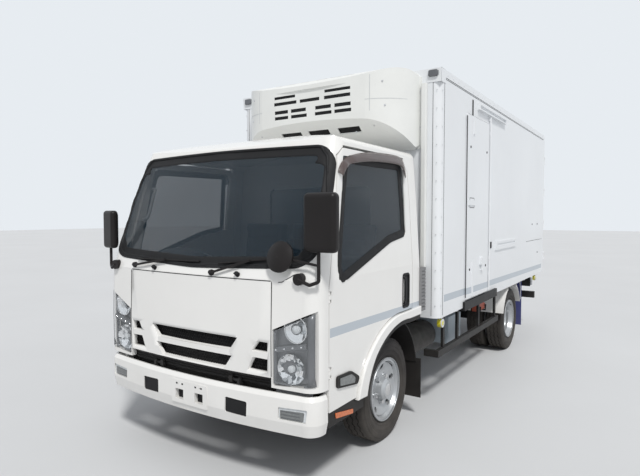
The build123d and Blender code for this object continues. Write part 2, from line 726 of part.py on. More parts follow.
save("box_left_wall", side_wall - door_cut)
side_door = block(
    BOX_HALF - WALL,
    BOX_HALF + SIDE_DOOR_PROUD,
    SIDE_DOOR_FRONT + DOOR_LAP,
    SIDE_DOOR_REAR - DOOR_LAP,
    SIDE_DOOR_BOTTOM + DOOR_LAP,
    SIDE_DOOR_TOP - DOOR_LAP,
)
side_door = side_door + block(
    BOX_HALF, BOX_HALF + SIDE_DOOR_PROUD, SIDE_DOOR_FRONT, SIDE_DOOR_REAR, SIDE_DOOR_BOTTOM, SIDE_DOOR_TOP
)
save("side_door", side_door)
roof = block(-BOX_HALF, BOX_HALF, wall_y0, wall_y1, BOX_TOP - ROOF, BOX_TOP)
save("box_roof", roof)
rear_outer = block(-BOX_HALF, BOX_HALF, BOX_REAR - REAR_DEPTH, BOX_REAR, BOX_BOTTOM, BOX_TOP)
rear_opening = block(
    -BOX_HALF + REAR_POST,
    BOX_HALF - REAR_POST,
    BOX_REAR - REAR_DEPTH - 1,
    BOX_REAR + 1,
    BOX_BOTTOM + REAR_SILL,
    BOX_TOP - REAR_HEADER,
)
rear_frame = rear_outer - rear_opening
LEAF_ZS = (BOX_BOTTOM + 260, BOX_BOTTOM + 760, BOX_BOTTOM + 1260, BOX_BOTTOM + 1760)
for z in LEAF_ZS:
    for low in (z + HINGE_LEAF / 2 + LUG_GAP, z - HINGE_LEAF / 2 - LUG_GAP - LUG_HEIGHT):
        lug = rod_z(HINGE_X, HINGE_Y, low, low + LUG_HEIGHT, HINGE_LUG_R)
        lug = lug + block(HINGE_X - HINGE_LUG_R, BOX_HALF, BOX_REAR, HINGE_Y, low, low + LUG_HEIGHT)
        lug = lug - rod_z(HINGE_X, HINGE_Y, low - 1, low + LUG_HEIGHT + 1, HINGE_PIN_R + RUN_GAP)
        rear_frame = rear_frame + both(lug)
for z0, z1 in ((BOX_BOTTOM + 30, BOX_BOTTOM + 80), (BOX_TOP - 70, BOX_TOP - 25)):
    for x in (-LOCK_X, LOCK_X):
        for d in (-32, 20):
            rear_frame = rear_frame + block(x + d, x + d + 12, BOX_REAR, BOX_REAR + 34, z0, z1)
save("rear_frame", rear_frame)

# Rear doors: a slab, hinge leaves round to the outer edge and one lock rod each
slab_x0 = PANEL_GAP / 2
slab_x1 = BOX_HALF - REAR_POST - PANEL_GAP
slab_z0 = BOX_BOTTOM + REAR_SILL + PANEL_GAP
slab_z1 = BOX_TOP - REAR_HEADER - PANEL_GAP
rear_door = block(slab_x0, slab_x1, BOX_REAR - DOOR_THICK, BOX_REAR, slab_z0, slab_z1)
for z in LEAF_ZS:
    leaf = block(slab_x1 - 150, slab_x1 - 20, BOX_REAR, BOX_REAR + 12, z - 40, z + 40)
    arm_plan = outline(
        (
            (slab_x1 - 40, BOX_REAR),
            (slab_x1 - 40, BOX_REAR + 12),
            (HINGE_X - 10, HINGE_Y + 6),
            (HINGE_X, HINGE_Y - 9),
            (slab_x1 - 12, BOX_REAR),
        )
    )
    rear_door = rear_door + leaf + along_z(arm_plan, z - HINGE_LEAF / 2, z + HINGE_LEAF / 2)
    pin_half = HINGE_LEAF / 2 + LUG_HEIGHT
    rear_door = rear_door + rod_z(HINGE_X, HINGE_Y, z - pin_half, z + pin_half, HINGE_PIN_R)
rear_door = rear_door + rod_z(LOCK_X, BOX_REAR + LOCK_OUT, BOX_BOTTOM + 30, BOX_TOP - 30, LOCK_ROD_R)
for z in (slab_z0 + 200, slab_z0 + 700, slab_z1 - 500, slab_z1 - 120):
    rear_door = rear_door + block(LOCK_X - 40, LOCK_X + 40, BOX_REAR, BOX_REAR + 20, z - 25, z + 25)
rear_door = rear_door + block(LOCK_X - 12, LOCK_X + 190, BOX_REAR + 12, BOX_REAR + 26, 1250, 1280)
for side, sign in SIDES:
    save(f"rear_door_{side}", sided(rear_door, sign))

# Refrigeration unit over the cab
UNIT_FRONT = 300
UNIT_LOW = 2302
UNIT_TOP = 2975
UNIT_FACE = 560
UNIT_HALF = 920
UNIT_CREASE = 2588
unit_plan = make_face(
    ThreePointArc((-UNIT_FACE, UNIT_FRONT + 30), (0, UNIT_FRONT), (UNIT_FACE, UNIT_FRONT + 30))
    + ThreePointArc((UNIT_FACE, UNIT_FRONT + 30), (802, 455), (UNIT_HALF, BOX_FRONT))
    + Line((UNIT_HALF, BOX_FRONT), (-UNIT_HALF, BOX_FRONT))
    + ThreePointArc((-UNIT_HALF, BOX_FRONT), (-802, 455), (-UNIT_FACE, UNIT_FRONT + 30))
)
unit_side = make_face(
    Polyline((BOX_FRONT, UNIT_LOW), (BOX_FRONT, UNIT_TOP), (480, UNIT_TOP))
    + ThreePointArc((480, UNIT_TOP), (400, 2966), (340, 2942))
    + Polyline((340, 2942), (296, 2905), (280, UNIT_CREASE + 30))
    + ThreePointArc((280, UNIT_CREASE + 30), (286, UNIT_CREASE + 6), (306, UNIT_CREASE - 14))
    + Polyline((306, UNIT_CREASE - 14), (630, UNIT_LOW), (BOX_FRONT, UNIT_LOW))
)
unit_front = make_face(
    Polyline((-860, UNIT_LOW), (860, UNIT_LOW))
    + ThreePointArc((860, UNIT_LOW), (903, 2322), (922, 2380))
    + Line((922, 2380), (922, 2880))
    + ThreePointArc((922, 2880), (900, 2948), (840, UNIT_TOP))
    + Line((840, UNIT_TOP), (-840, UNIT_TOP))
    + ThreePointArc((-840, UNIT_TOP), (-900, 2948), (-922, 2880))
    + Line((-922, 2880), (-922, 2380))
    + ThreePointArc((-922, 2380), (-903, 2322), (-860, UNIT_LOW))
)
unit = along_z(unit_plan, UNIT_LOW, UNIT_TOP) & along_x(unit_side, -1000, 1000)
unit = unit & along_y(unit_front, 100, BOX_FRONT)
recess = outline(((-518, 2602), (536, 2602), (528, 2872), (-516, 2872)), 10)
unit = unit - along_y(recess, 100, UNIT_FRONT + 14)
# low z, high z of each row of front slots, then the left and right x of its slots
UNIT_SLOTS = (
    (2818, 2844, ((-400, -158), (161, 424))),
    (2760, 2790, ((-404, -143), (-107, 108), (157, 424))),
    (2680, 2712, ((-396, -240), (-208, -38), (63, 230), (265, 429))),
    (2628, 2658, ((-396, -238), (-206, -28), (60, 237), (265, 434))),
)
for z0, z1, spans in UNIT_SLOTS:
    for x0, x1 in spans:
        unit = unit - block(x0, x1, 250, UNIT_FRONT + 70, z0, z1)
# left and right x of the thin double slots along the top edge
for x0, x1 in ((-400, -158), (-120, -15), (51, 169), (199, 440)):
    for y in (346, 368):
        unit = unit - block(x0, x1, y, y + 9, 2928, UNIT_TOP + 5)
# left and right x of the openings in the sloped underside
for x0, x1 in ((-372, -146), (-64, 157), (253, 474)):
    unit = unit - block(x0, x1, 386, 446, 2400, 2560)
flange = block(-930, 930, BOX_FRONT - 12, BOX_FRONT, UNIT_LOW + 8, UNIT_TOP - 50)
cover = fillet(block(935, 985, BOX_FRONT - 42, BOX_FRONT, 1290, 2860).edges().filter_by(Axis.Z), 12)
unit = unit + flange
save("fridge_unit", Compound([*unit.solids(), *cover.solids()]))

# Axles, springs and brake side of the steered wheels
beam_view = outline(
    (
        (-KINGPIN_X, AXLE_Z - 40),
        (-KINGPIN_X, AXLE_Z + 40),
        (-KINGPIN_X + 60, AXLE_Z + 40),
        (-520, AXLE_Z - 30),
        (520, AXLE_Z - 30),
        (KINGPIN_X - 60, AXLE_Z + 40),
        (KINGPIN_X, AXLE_Z + 40),
        (KINGPIN_X, AXLE_Z - 40),
        (KINGPIN_X - 60, AXLE_Z - 40),
        (520, AXLE_Z - 105),
        (-520, AXLE_Z - 105),
        (-KINGPIN_X + 60, AXLE_Z - 40),
    )
)
beam = along_y(beam_view, -34, 34)
beam = beam + both(rod_z(KINGPIN_X, 0, AXLE_Z - 40, AXLE_Z + 40, 34))
groove_view = outline(((-560, AXLE_Z - 92), (560, AXLE_Z - 92), (500, AXLE_Z - 43), (-500, AXLE_Z - 43)))
beam = beam - along_y(groove_view, -40, -12) - along_y(groove_view, 12, 40)
for sign in (-1, 1):
    beam = beam - rod_z(sign * KINGPIN_X, 0, 200, 600, KINGPIN_R + RUN_GAP)
save("front_axle", beam)

KNUCKLE_GAP = 1
knuckle = rod_z(KINGPIN_X, 0, AXLE_Z - 75, AXLE_Z + 75, KINGPIN_R)
for z0, z1 in ((AXLE_Z - 75, AXLE_Z - 40 - KNUCKLE_GAP), (AXLE_Z + 40 + KNUCKLE_GAP, AXLE_Z + 75)):
    lug = block(KINGPIN_X, KINGPIN_X + 60, -34, 34, z0, z1) + rod_z(KINGPIN_X, 0, z0, z1, 34)
    knuckle = knuckle + lug
knuckle = knuckle + block(KINGPIN_X + 42, KINGPIN_X + 62, -48, 48, AXLE_Z - 75, AXLE_Z + 75)
knuckle = knuckle + rod_x(KINGPIN_X + 60, KINGPIN_X + 215, 0, AXLE_Z, SPINDLE_R)
arm_z = AXLE_Z - ARM_DROP
steer_arm = block(KINGPIN_X - 16, KINGPIN_X + 16, 20, ARM_REACH, arm_z - 12, arm_z + 12)
steer_arm = steer_arm + rod_z(KINGPIN_X, ARM_REACH, arm_z - 12, arm_z + 12, 22)
steer_arm = steer_arm + rod_z(KINGPIN_X, ARM_REACH, arm_z - 50, arm_z, TIE_PIN_R)
knuckle = knuckle + steer_arm
for side, sign in SIDES:
    save(f"knuckle_{side}", sided(knuckle, sign))

tie_z = arm_z - 12 - 2 - 14
tie = rod_x(-KINGPIN_X + 22, KINGPIN_X - 22, ARM_REACH, tie_z, 13)
for sign, hole in ((1, TIE_PIN_R + RUN_GAP), (-1, TIE_PIN_R + 1.0)):
    tie = tie + rod_z(sign * KINGPIN_X, ARM_REACH, tie_z - 14, tie_z + 14, 24)
    tie = tie - rod_z(sign * KINGPIN_X, ARM_REACH, tie_z - 20, tie_z + 20, hole)
save("tie_rod", tie)

SHAFT_FRONT = 1000.3
housing = rod_x(-REAR_WHEEL_X + 66, REAR_WHEEL_X - 66, REAR_AXLE, AXLE_Z, 58)
housing = housing + both(block(360, 430, REAR_AXLE - 60, REAR_AXLE + 60, AXLE_Z + 20, AXLE_Z + 62))
housing = housing + rod_x(-REAR_WHEEL_X - 140, REAR_WHEEL_X + 140, REAR_AXLE, AXLE_Z, 34)
housing = housing + Pos(0, REAR_AXLE, AXLE_Z) * Sphere(165)
housing = housing + rod_y(0, REAR_AXLE - 260, REAR_AXLE, AXLE_Z, 75)
shaft = rod_y(0, SHAFT_FRONT, REAR_AXLE - 250, AXLE_Z + 20, 38)
housing = housing + shaft
save("rear_axle", housing)

SPRING_X = 395
springs = []
for y, z_mid, half in ((0, AXLE_Z - 30 + 22, 560), (REAR_AXLE, AXLE_Z + 62 + 22, 620)):
    z_eye = RAIL_BOTTOM - 45
    leaf_view = make_face(
        ThreePointArc((y - half, z_eye), (y, z_mid + 22), (y + half, z_eye))
        + Line((y + half, z_eye), (y + half, z_eye - 16))
        + ThreePointArc((y + half, z_eye - 16), (y, z_mid - 22), (y - half, z_eye - 16))
        + Line((y - half, z_eye - 16), (y - half, z_eye))
    )
    pack_solid = along_x(leaf_view, SPRING_X - 35, SPRING_X + 35)
    for end in (-1, 1):
        hanger = block(
            SPRING_X - 30, SPRING_X + 30, y + end * half - 30, y + end * half + 30, z_eye - 30, RAIL_BOTTOM
        )
        pack_solid = pack_solid + hanger
    springs.append(pack_solid)
save("leaf_springs", pair(Compound([s for sp in springs for s in sp.solids()])))

# Wheels and tyres, drawn about X and moved to their hubs
HUB_R = 85
DISC_T = 14


def turned(points):
    """Solid of revolution about X from (x, r) points."""
    return revolve(Plane.XY * outline(points), axis=Axis.X)


def tyre_solid():
    """One tyre centred at the origin."""
    half = TYRE_W / 2
    tread = half - 18
    bead = half - 27
    seat_r = RIM_SEAT_R + 2.5
    side = make_face(
        Line((-tread, TYRE_R), (tread, TYRE_R))
        + ThreePointArc((tread, TYRE_R), (half, (TYRE_R + RIM_R) / 2 + 8), (bead, RIM_R + 2))
        + Polyline((bead, RIM_R + 2), (bead - 1, seat_r), (1 - bead, seat_r), (-bead, RIM_R + 2))
        + ThreePointArc((-bead, RIM_R + 2), (-half, (TYRE_R + RIM_R) / 2 + 8), (-tread, TYRE_R))
    )
    return revolve(side, axis=Axis.X)


def rim_solid():
    """Rim ring of one wheel centred at the origin."""
    half = TYRE_W / 2 - 20
    return turned(
        (
            (-half + 5, RIM_R),
            (-half + 2, RIM_SEAT_R + 2),
            (-half + 30, RIM_SEAT_R),
            (-30, RIM_SEAT_R - 16),
            (30, RIM_SEAT_R - 16),
            (half - 30, RIM_SEAT_R),
            (half - 2, RIM_SEAT_R + 2),
            (half - 5, RIM_R),
            (half + 2, RIM_R),
            (half + 4, RIM_SEAT_R - 6),
            (40, RIM_SEAT_R - 28),
            (-40, RIM_SEAT_R - 28),
            (-half - 4, RIM_SEAT_R - 6),
            (-half - 2, RIM_R),
        )
    )


DISC_HOLES = 5
STUD_PCD_R = 104


def disc_solid(face_x, edge_x):
    """Wheel disc from the rim at edge_x to its bolt face at face_x, with hand holes and nuts."""
    disc = turned(
        (
            (edge_x - 7, RIM_SEAT_R - 20),
            (edge_x + 7, RIM_SEAT_R - 20),
            (face_x + 7, 140),
            (face_x + 7, 0),
            (face_x - 7, 0),
            (face_x - 7, 140),
        )
    )
    for i in range(DISC_HOLES):
        turn = Rot(360 / DISC_HOLES * i, 0, 0)
        disc = disc - turn * Pos(0, 0, 172) * Rot(0, 90, 0) * Cylinder(22, 400)
    return disc


# Front wheels
for side, sign in SIDES:
    place = Pos(sign * FRONT_WHEEL_X, 0, AXLE_Z)
    save(f"front_tyre_{side}", place * tyre_solid())
bore = SPINDLE_R + RUN_GAP
front_hub = ((-60, bore), (-60, 150), (32, 150), (32, 95), (92, 80), (112, 60), (112, 0), (92, 0), (92, bore))
hub_front = turned(front_hub)
front_wheel = rim_solid() + disc_solid(38, 60) + hub_front
front_wheel = front_wheel - rod_x(-300, 92, 0, 0, bore)
for i in range(DISC_HOLES):
    a = radians(360 / DISC_HOLES * (i + 0.5))
    front_wheel = front_wheel + rod_x(40, 66, STUD_PCD_R * sin(a), STUD_PCD_R * cos(a), 15)
for side, sign in SIDES:
    save(f"front_wheel_{side}", Pos(sign * FRONT_WHEEL_X, 0, AXLE_Z) * sided(front_wheel, sign))

# Rear twin wheels
half_twin = TWIN_SPACING / 2
SHAFT_R = 34 + RUN_GAP
twin = Pos(half_twin, 0, 0) * (rim_solid() + disc_solid(-half_twin + 16, 20))
twin = twin + Pos(-half_twin, 0, 0) * (rim_solid() + disc_solid(half_twin - 2, -20))
twin_flange = ((-60, SHAFT_R), (-60, 150), (-10, 150), (0, 95))
twin_hub = twin_flange + ((135, 70), (150, 60), (150, 0), (141, 0), (141, SHAFT_R))
twin = twin + turned(twin_hub)
twin = twin - rod_x(-300, 141, 0, 0, SHAFT_R)
for i in range(DISC_HOLES):
    a = radians(360 / DISC_HOLES * (i + 0.5))
    twin = twin + rod_x(16, 46, STUD_PCD_R * sin(a), STUD_PCD_R * cos(a), 15)
for side, sign in SIDES:
    place = Pos(sign * REAR_WHEEL_X, REAR_AXLE, AXLE_Z)
    save(f"rear_wheel_{side}", place * sided(twin, sign))
    tyres = [place * Pos(d * half_twin, 0, 0) * tyre_solid() for d in (-1, 1)]
    save(f"rear_tyre_{side}", Compound([s for t in tyres for s in t.solids()]))

# Driveline, tank, battery and exhaust
engine = fillet(block(-230, 230, -420, 420, 500, 925).edges().filter_by(Axis.Y), 40)
engine = engine + block(-150, 150, 420, 1000, 370, 720)
engine = engine + block(-RAIL_OUT + RAIL_WALL + RUN_GAP, RAIL_OUT - RAIL_WALL - RUN_GAP, 60, 130, 620, 665)
save("engine_block", engine)
tank = fillet(block(-RAIL_OUT - 400, -RAIL_OUT - 40, 1250, 2050, 380, 720).edges().filter_by(Axis.Y), 45)
for y in (1350, 1900):
    tank = tank + block(-RAIL_OUT - 60, -RAIL_OUT, y, y + 50, 600, 700)
save("fuel_tank", tank)
BATTERY_OUT = 900
battery = fillet(block(RAIL_OUT + 40, BATTERY_OUT, 1490, 1880, 430, 700).edges().filter_by(Axis.Z), 12)
battery = battery + block(RAIL_OUT, RAIL_OUT + 60, 1560, 1800, 600, 700)
save("battery_box", battery)
muffler = rod_y(RAIL_OUT + 220, 860, 1440, 520, 140)
for y in (960, 1320):
    muffler = muffler + block(RAIL_OUT, RAIL_OUT + 200, y, y + 40, 600, 700)
save("exhaust_unit", muffler)

# Side guards, mudguards, flaps and the rear under-run bar
GUARD_LOW = 456
GUARD_OUT = BOX_HALF - 60
GUARD_IN = GUARD_OUT - 40
guard = block(GUARD_IN, GUARD_OUT, 860, 2860, GUARD_LOW, GUARD_LOW + 62)
guard = guard + block(GUARD_IN - 100, GUARD_OUT, 840, 880, GUARD_LOW, GUARD_LOW + 62)
for y in (1000, 1400, 2100, 2760):
    guard = guard + block(GUARD_IN, GUARD_IN + 24, y, y + 40, GUARD_LOW, BOX_BOTTOM)
BOARD_IN = BOX_HALF - 58
BOARD_OUT = BOX_HALF + 22
BOARD_FRONT = SIDE_DOOR_FRONT - 60
BOARD_REAR = BOARD_FRONT + 1155
door_step = block(BOARD_IN, BOARD_OUT, BOARD_FRONT, BOARD_REAR, 812, BOX_BOTTOM)
door_step = door_step + block(BOX_HALF, BOARD_OUT, BOARD_FRONT, BOARD_REAR, 812, 900)
save("side_guards", Compound([*pair(guard).solids(), *door_step.solids()]))

arch = rod_x(620, 950, 0, AXLE_Z, 560) - rod_x(600, 1000, 0, AXLE_Z, 550)
arch = arch & block(600, 1000, 120, 600, 480, 900)
arch = arch + block(RAIL_OUT, 640, 300, 340, 700, 740) + block(600, 640, 300, 340, 700, 880)
front_flap = block(640, 990, 553.3, 559.3, 170, 510)
save("mudguards", pair(Compound([*arch.solids(), *front_flap.solids()])))

FENDER_R = 462
FENDER_TOP = FRAME_TOP + SUBFRAME - 4
FENDER_OUT = BOX_HALF - 20
fender = rod_x(560, FENDER_OUT, REAR_AXLE, AXLE_Z, FENDER_R + 8)
fender = fender - rod_x(500, BOX_HALF, REAR_AXLE, AXLE_Z, FENDER_R)
fenders = []
# front, rear and lower end of each half
for y0, y1, low in ((REAR_AXLE - 500, REAR_AXLE - 200, 527), (REAR_AXLE + 200, REAR_AXLE + 500, 558)):
    wing = fender & block(500, BOX_HALF, y0, y1, low, FENDER_TOP)
    reach = sqrt(FENDER_R**2 - (FENDER_TOP - AXLE_Z) ** 2)
    y = REAR_AXLE - reach if y0 < REAR_AXLE else REAR_AXLE + reach
    fenders.append(wing + block(560, FENDER_OUT, y - 6, y + 6, FENDER_TOP - 12, BOX_BOTTOM))
save("rear_fenders", pair(Compound([s for f in fenders for s in f.solids()])))

FLAP_Y = 4000
flap = block(580, BOX_HALF - 38, FLAP_Y, FLAP_Y + 6, 200, BOX_BOTTOM)
save("mud_flaps", pair(flap))

LAMP_BACK = BOX_REAR - 90
under = block(-1000, 1000, BOX_REAR - 100, BOX_REAR - 40, 420, 520)
under = under + both(block(RAIL_IN, RAIL_OUT, BOX_REAR - 90, BOX_REAR - 60, 520, RAIL_BOTTOM))
lamp_plate = block(640, 940, LAMP_BACK - 6, LAMP_BACK, 600, BOX_BOTTOM)
save("rear_underrun", Compound([*under.solids(), *pair(lamp_plate).solids()]))

# Lamps fixed to the bumper, box and tail
MARKER_R = 38
MARKER_Z = 784
MARKER_IN = BOX_HALF - 48
lamps = []
fog_ring = along_z(bumper_plan(BUMPER_SKIN + RUN_GAP), 440, 600)
fog_ring = fog_ring - along_z(bumper_plan(BUMPER_SKIN + 26), 430, 610)
fog_ring = fog_ring & along_y(offset(fog_face, 12), -1300, -1000)
fog_lens = along_z(bumper_plan(10), 440, 600) - along_z(bumper_plan(BUMPER_SKIN + 20), 430, 610)
fog_lens = fog_lens & along_y(offset(fog_face, -3), -1300, -1000)
lamps.append(fog_ring + fog_lens)
lamps.append(block(620, 960, LAMP_BACK, LAMP_BACK + 70, 620, 740))
for y in (800, 4810):
    marker = rod_x(MARKER_IN, BOX_HALF - 6, y, MARKER_Z, MARKER_R)
    marker = marker + block(MARKER_IN + 10, MARKER_IN + 18, y - 18, y + 18, MARKER_Z, BOX_BOTTOM)
    lamps.append(marker)
save("body_lamps", pair(Compound([s for lamp in lamps for s in lamp.solids()])))

# Side door runners, lever and step
DOOR_OUT = BOX_HALF + SIDE_DOOR_PROUD
rail_top = block(BOX_HALF, BOX_HALF + 30, 1715, 2775, 2800, 2868)
rail_top = rail_top - block(BOX_HALF + 8, BOX_HALF + 31, 1735, 2755, 2812, 2846)
rail_mid = block(BOX_HALF, BOX_HALF + 14, 2435, 3415, 1338, 1440)
rail_mid = rail_mid - block(BOX_HALF + 4, BOX_HALF + 15, 2533, 3333, 1386, 1410)
lever = block(DOOR_OUT, DOOR_OUT + 22, 1790, 1905, 1225, 1300)
lever = lever + block(DOOR_OUT, DOOR_OUT + 22, 1835, 1880, 1165, 1240)
ROD_Y = SIDE_DOOR_FRONT + SIDE_DOOR_WIDTH + 38
gear_rod = rod_z(BOX_HALF + 16, ROD_Y, 925, 2785, 10)
for z in (935, 1100, 1274, 1856, 2609, 2760):
    gear_rod = gear_rod + block(BOX_HALF, BOX_HALF + 16, ROD_Y - 18, ROD_Y + 18, z - 14, z + 14)
catch = block(DOOR_OUT, DOOR_OUT + 8, 1392, 1610, 1832, 1882)
bar = block(DOOR_OUT, DOOR_OUT + 10, 1535, 1568, 930, 1262)
hook = block(DOOR_OUT, DOOR_OUT + 12, 1548, 1578, 2530, 2700)
fittings = (rail_top, rail_mid, lever, gear_rod, catch, bar, hook)
save("side_door_gear", Compound([s for f in fittings for s in f.solids()]))
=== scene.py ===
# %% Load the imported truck
from math import atan2, cos, pi, radians, sin

import bmesh
import bpy
from mathutils import Matrix, Vector
from mathutils.bvhtree import BVHTree


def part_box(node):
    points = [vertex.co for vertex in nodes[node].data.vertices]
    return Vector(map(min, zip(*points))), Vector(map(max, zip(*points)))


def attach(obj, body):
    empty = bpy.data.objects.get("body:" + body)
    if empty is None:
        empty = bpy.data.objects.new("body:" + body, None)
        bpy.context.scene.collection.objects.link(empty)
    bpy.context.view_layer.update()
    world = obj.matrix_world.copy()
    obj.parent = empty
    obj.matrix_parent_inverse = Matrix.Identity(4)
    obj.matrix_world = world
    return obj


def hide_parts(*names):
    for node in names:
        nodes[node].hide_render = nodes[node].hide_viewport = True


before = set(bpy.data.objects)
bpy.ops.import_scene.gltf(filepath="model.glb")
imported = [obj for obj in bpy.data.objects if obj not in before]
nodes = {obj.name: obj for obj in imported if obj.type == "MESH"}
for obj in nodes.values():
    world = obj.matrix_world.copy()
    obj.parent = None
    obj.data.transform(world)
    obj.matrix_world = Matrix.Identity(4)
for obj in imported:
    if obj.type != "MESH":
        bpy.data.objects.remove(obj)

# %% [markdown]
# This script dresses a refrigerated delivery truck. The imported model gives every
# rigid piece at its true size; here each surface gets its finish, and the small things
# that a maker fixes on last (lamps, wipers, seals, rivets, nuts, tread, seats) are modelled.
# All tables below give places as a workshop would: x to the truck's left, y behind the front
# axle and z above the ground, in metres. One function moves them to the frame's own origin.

SIDES = (("left", 1), ("right", -1))
scene = bpy.context.scene
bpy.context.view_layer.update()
axle_low, axle_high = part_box("front_axle")
AXLE_Y = (axle_low.y + axle_high.y) / 2
rear_low, rear_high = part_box("rear_wheel_left")
WHEELBASE = (rear_low.y + rear_high.y) / 2 - AXLE_Y
AXLE_Z = (rear_low.z + rear_high.z) / 2
print("front axle at y", round(AXLE_Y, 4), "wheelbase", round(WHEELBASE, 4))


def at(x, y, z):
    """Point in the frame, from x, y behind the front axle and z."""
    return Vector((x, y + AXLE_Y, z))


# %% [markdown]
# The camera stands where the picture was taken from: about 3.6 m ahead of the front axle and 2.7 m
# to the truck's left, at eye height, looking slightly down. Its place, turn and lens come
# from lining up the wheels, the box's edges and the horizon, so nothing is shifted or cropped.

# %% Camera
camera_data = bpy.data.cameras.new("viewpoint")
camera_data.lens = 29.33
camera_data.sensor_width = 36
camera = bpy.data.objects.new("viewpoint", camera_data)
camera.location = at(2.694, -3.605, 1.734)
camera.rotation_euler = (radians(90 - 2.491), 0, radians(33.335))
scene.collection.objects.link(camera)
scene.camera = camera
print("camera at", [round(c, 3) for c in camera.location])

# %% [markdown]
# Studio light for a white truck has to stay low enough for the white paint to keep its shape.
# A broad sun stands for the key light, high on the truck's left front, and the world gives an even
# fill. Camera, glossy and transmission rays see a pale backdrop instead of the fill. Several lamps
# could do the same, but one sun and a world stay even over a long vehicle.

# %% Light, world and floor
sun_data = bpy.data.lights.new("key_light", "SUN")
sun_data.energy = 2.4
sun_data.angle = radians(9)
sun_data.color = (1.0, 0.985, 0.96)
sun = bpy.data.objects.new("key_light", sun_data)
sun.rotation_euler = Vector((-0.60, 0.60, -1.15)).to_track_quat("-Z", "Y").to_euler()
scene.collection.objects.link(sun)

world = bpy.data.worlds.new("studio")
scene.world = world
world.use_nodes = True
wn = world.node_tree.nodes
wl = world.node_tree.links
wn.clear()
fill = wn.new("ShaderNodeBackground")
fill.inputs["Color"].default_value = (0.94, 0.96, 1.0, 1)
fill.inputs["Strength"].default_value = 0.53
backdrop = wn.new("ShaderNodeBackground")
backdrop.inputs["Color"].default_value = (0.80, 0.84, 0.88, 1)
backdrop.inputs["Strength"].default_value = 1.0
rays = wn.new("ShaderNodeLightPath")
seen = wn.new("ShaderNodeMath")
seen.operation = "MAXIMUM"
seen_all = wn.new("ShaderNodeMath")
seen_all.operation = "MAXIMUM"
wl.new(rays.outputs["Is Camera Ray"], seen.inputs[0])
wl.new(rays.outputs["Is Glossy Ray"], seen.inputs[1])
wl.new(seen.outputs[0], seen_all.inputs[0])
wl.new(rays.outputs["Is Transmission Ray"], seen_all.inputs[1])
choose = wn.new("ShaderNodeMixShader")
wl.new(seen_all.outputs[0], choose.inputs[0])
wl.new(fill.outputs[0], choose.inputs[1])
wl.new(backdrop.outputs[0], choose.inputs[2])
world_out = wn.new("ShaderNodeOutputWorld")
wl.new(choose.outputs[0], world_out.inputs["Surface"])
scene.view_settings.view_transform = "Standard"
print("light:", round(sun_data.energy, 2), "fill:", round(fill.inputs["Strength"].default_value, 2))

# %% Floor
FLOOR_SIZE = 60
floor_mesh = bpy.data.meshes.new("studio_floor")
floor_bm = bmesh.new()
bmesh.ops.create_grid(floor_bm, x_segments=1, y_segments=1, size=FLOOR_SIZE)
floor_bm.to_mesh(floor_mesh)
floor_bm.free()
floor_obj = bpy.data.objects.new("studio_floor", floor_mesh)
scene.collection.objects.link(floor_obj)
print("studio ready")

# %% [markdown]
# A finish is more than a colour. Paint, rubber and plastic all vary a little in tone and in gloss,
# have a fine surface texture, and gather dust low down. One function builds that common ground from
# noise on Object coordinates: two noises for tone and gloss, one for bump, and a height
# mask for road dust. Special finishes add their own nodes to what it returns. Object coordinates
# are metres here, so a grain has the same size on every piece.

# %% A function for finishes
DARK_BELOW = 0.03
DARK_GLEAM, PALE_GLEAM = 0.22, 0.5
COAT_ROUGHNESS = 0.08
TONE_FROM, TONE_TO = 0.32, 0.68
DUST_COLOUR = (0.30, 0.27, 0.23)
DUST_FOOT = 0.1
DUST_PATCHES = 7.0
GRAIN_STRENGTH = 0.35


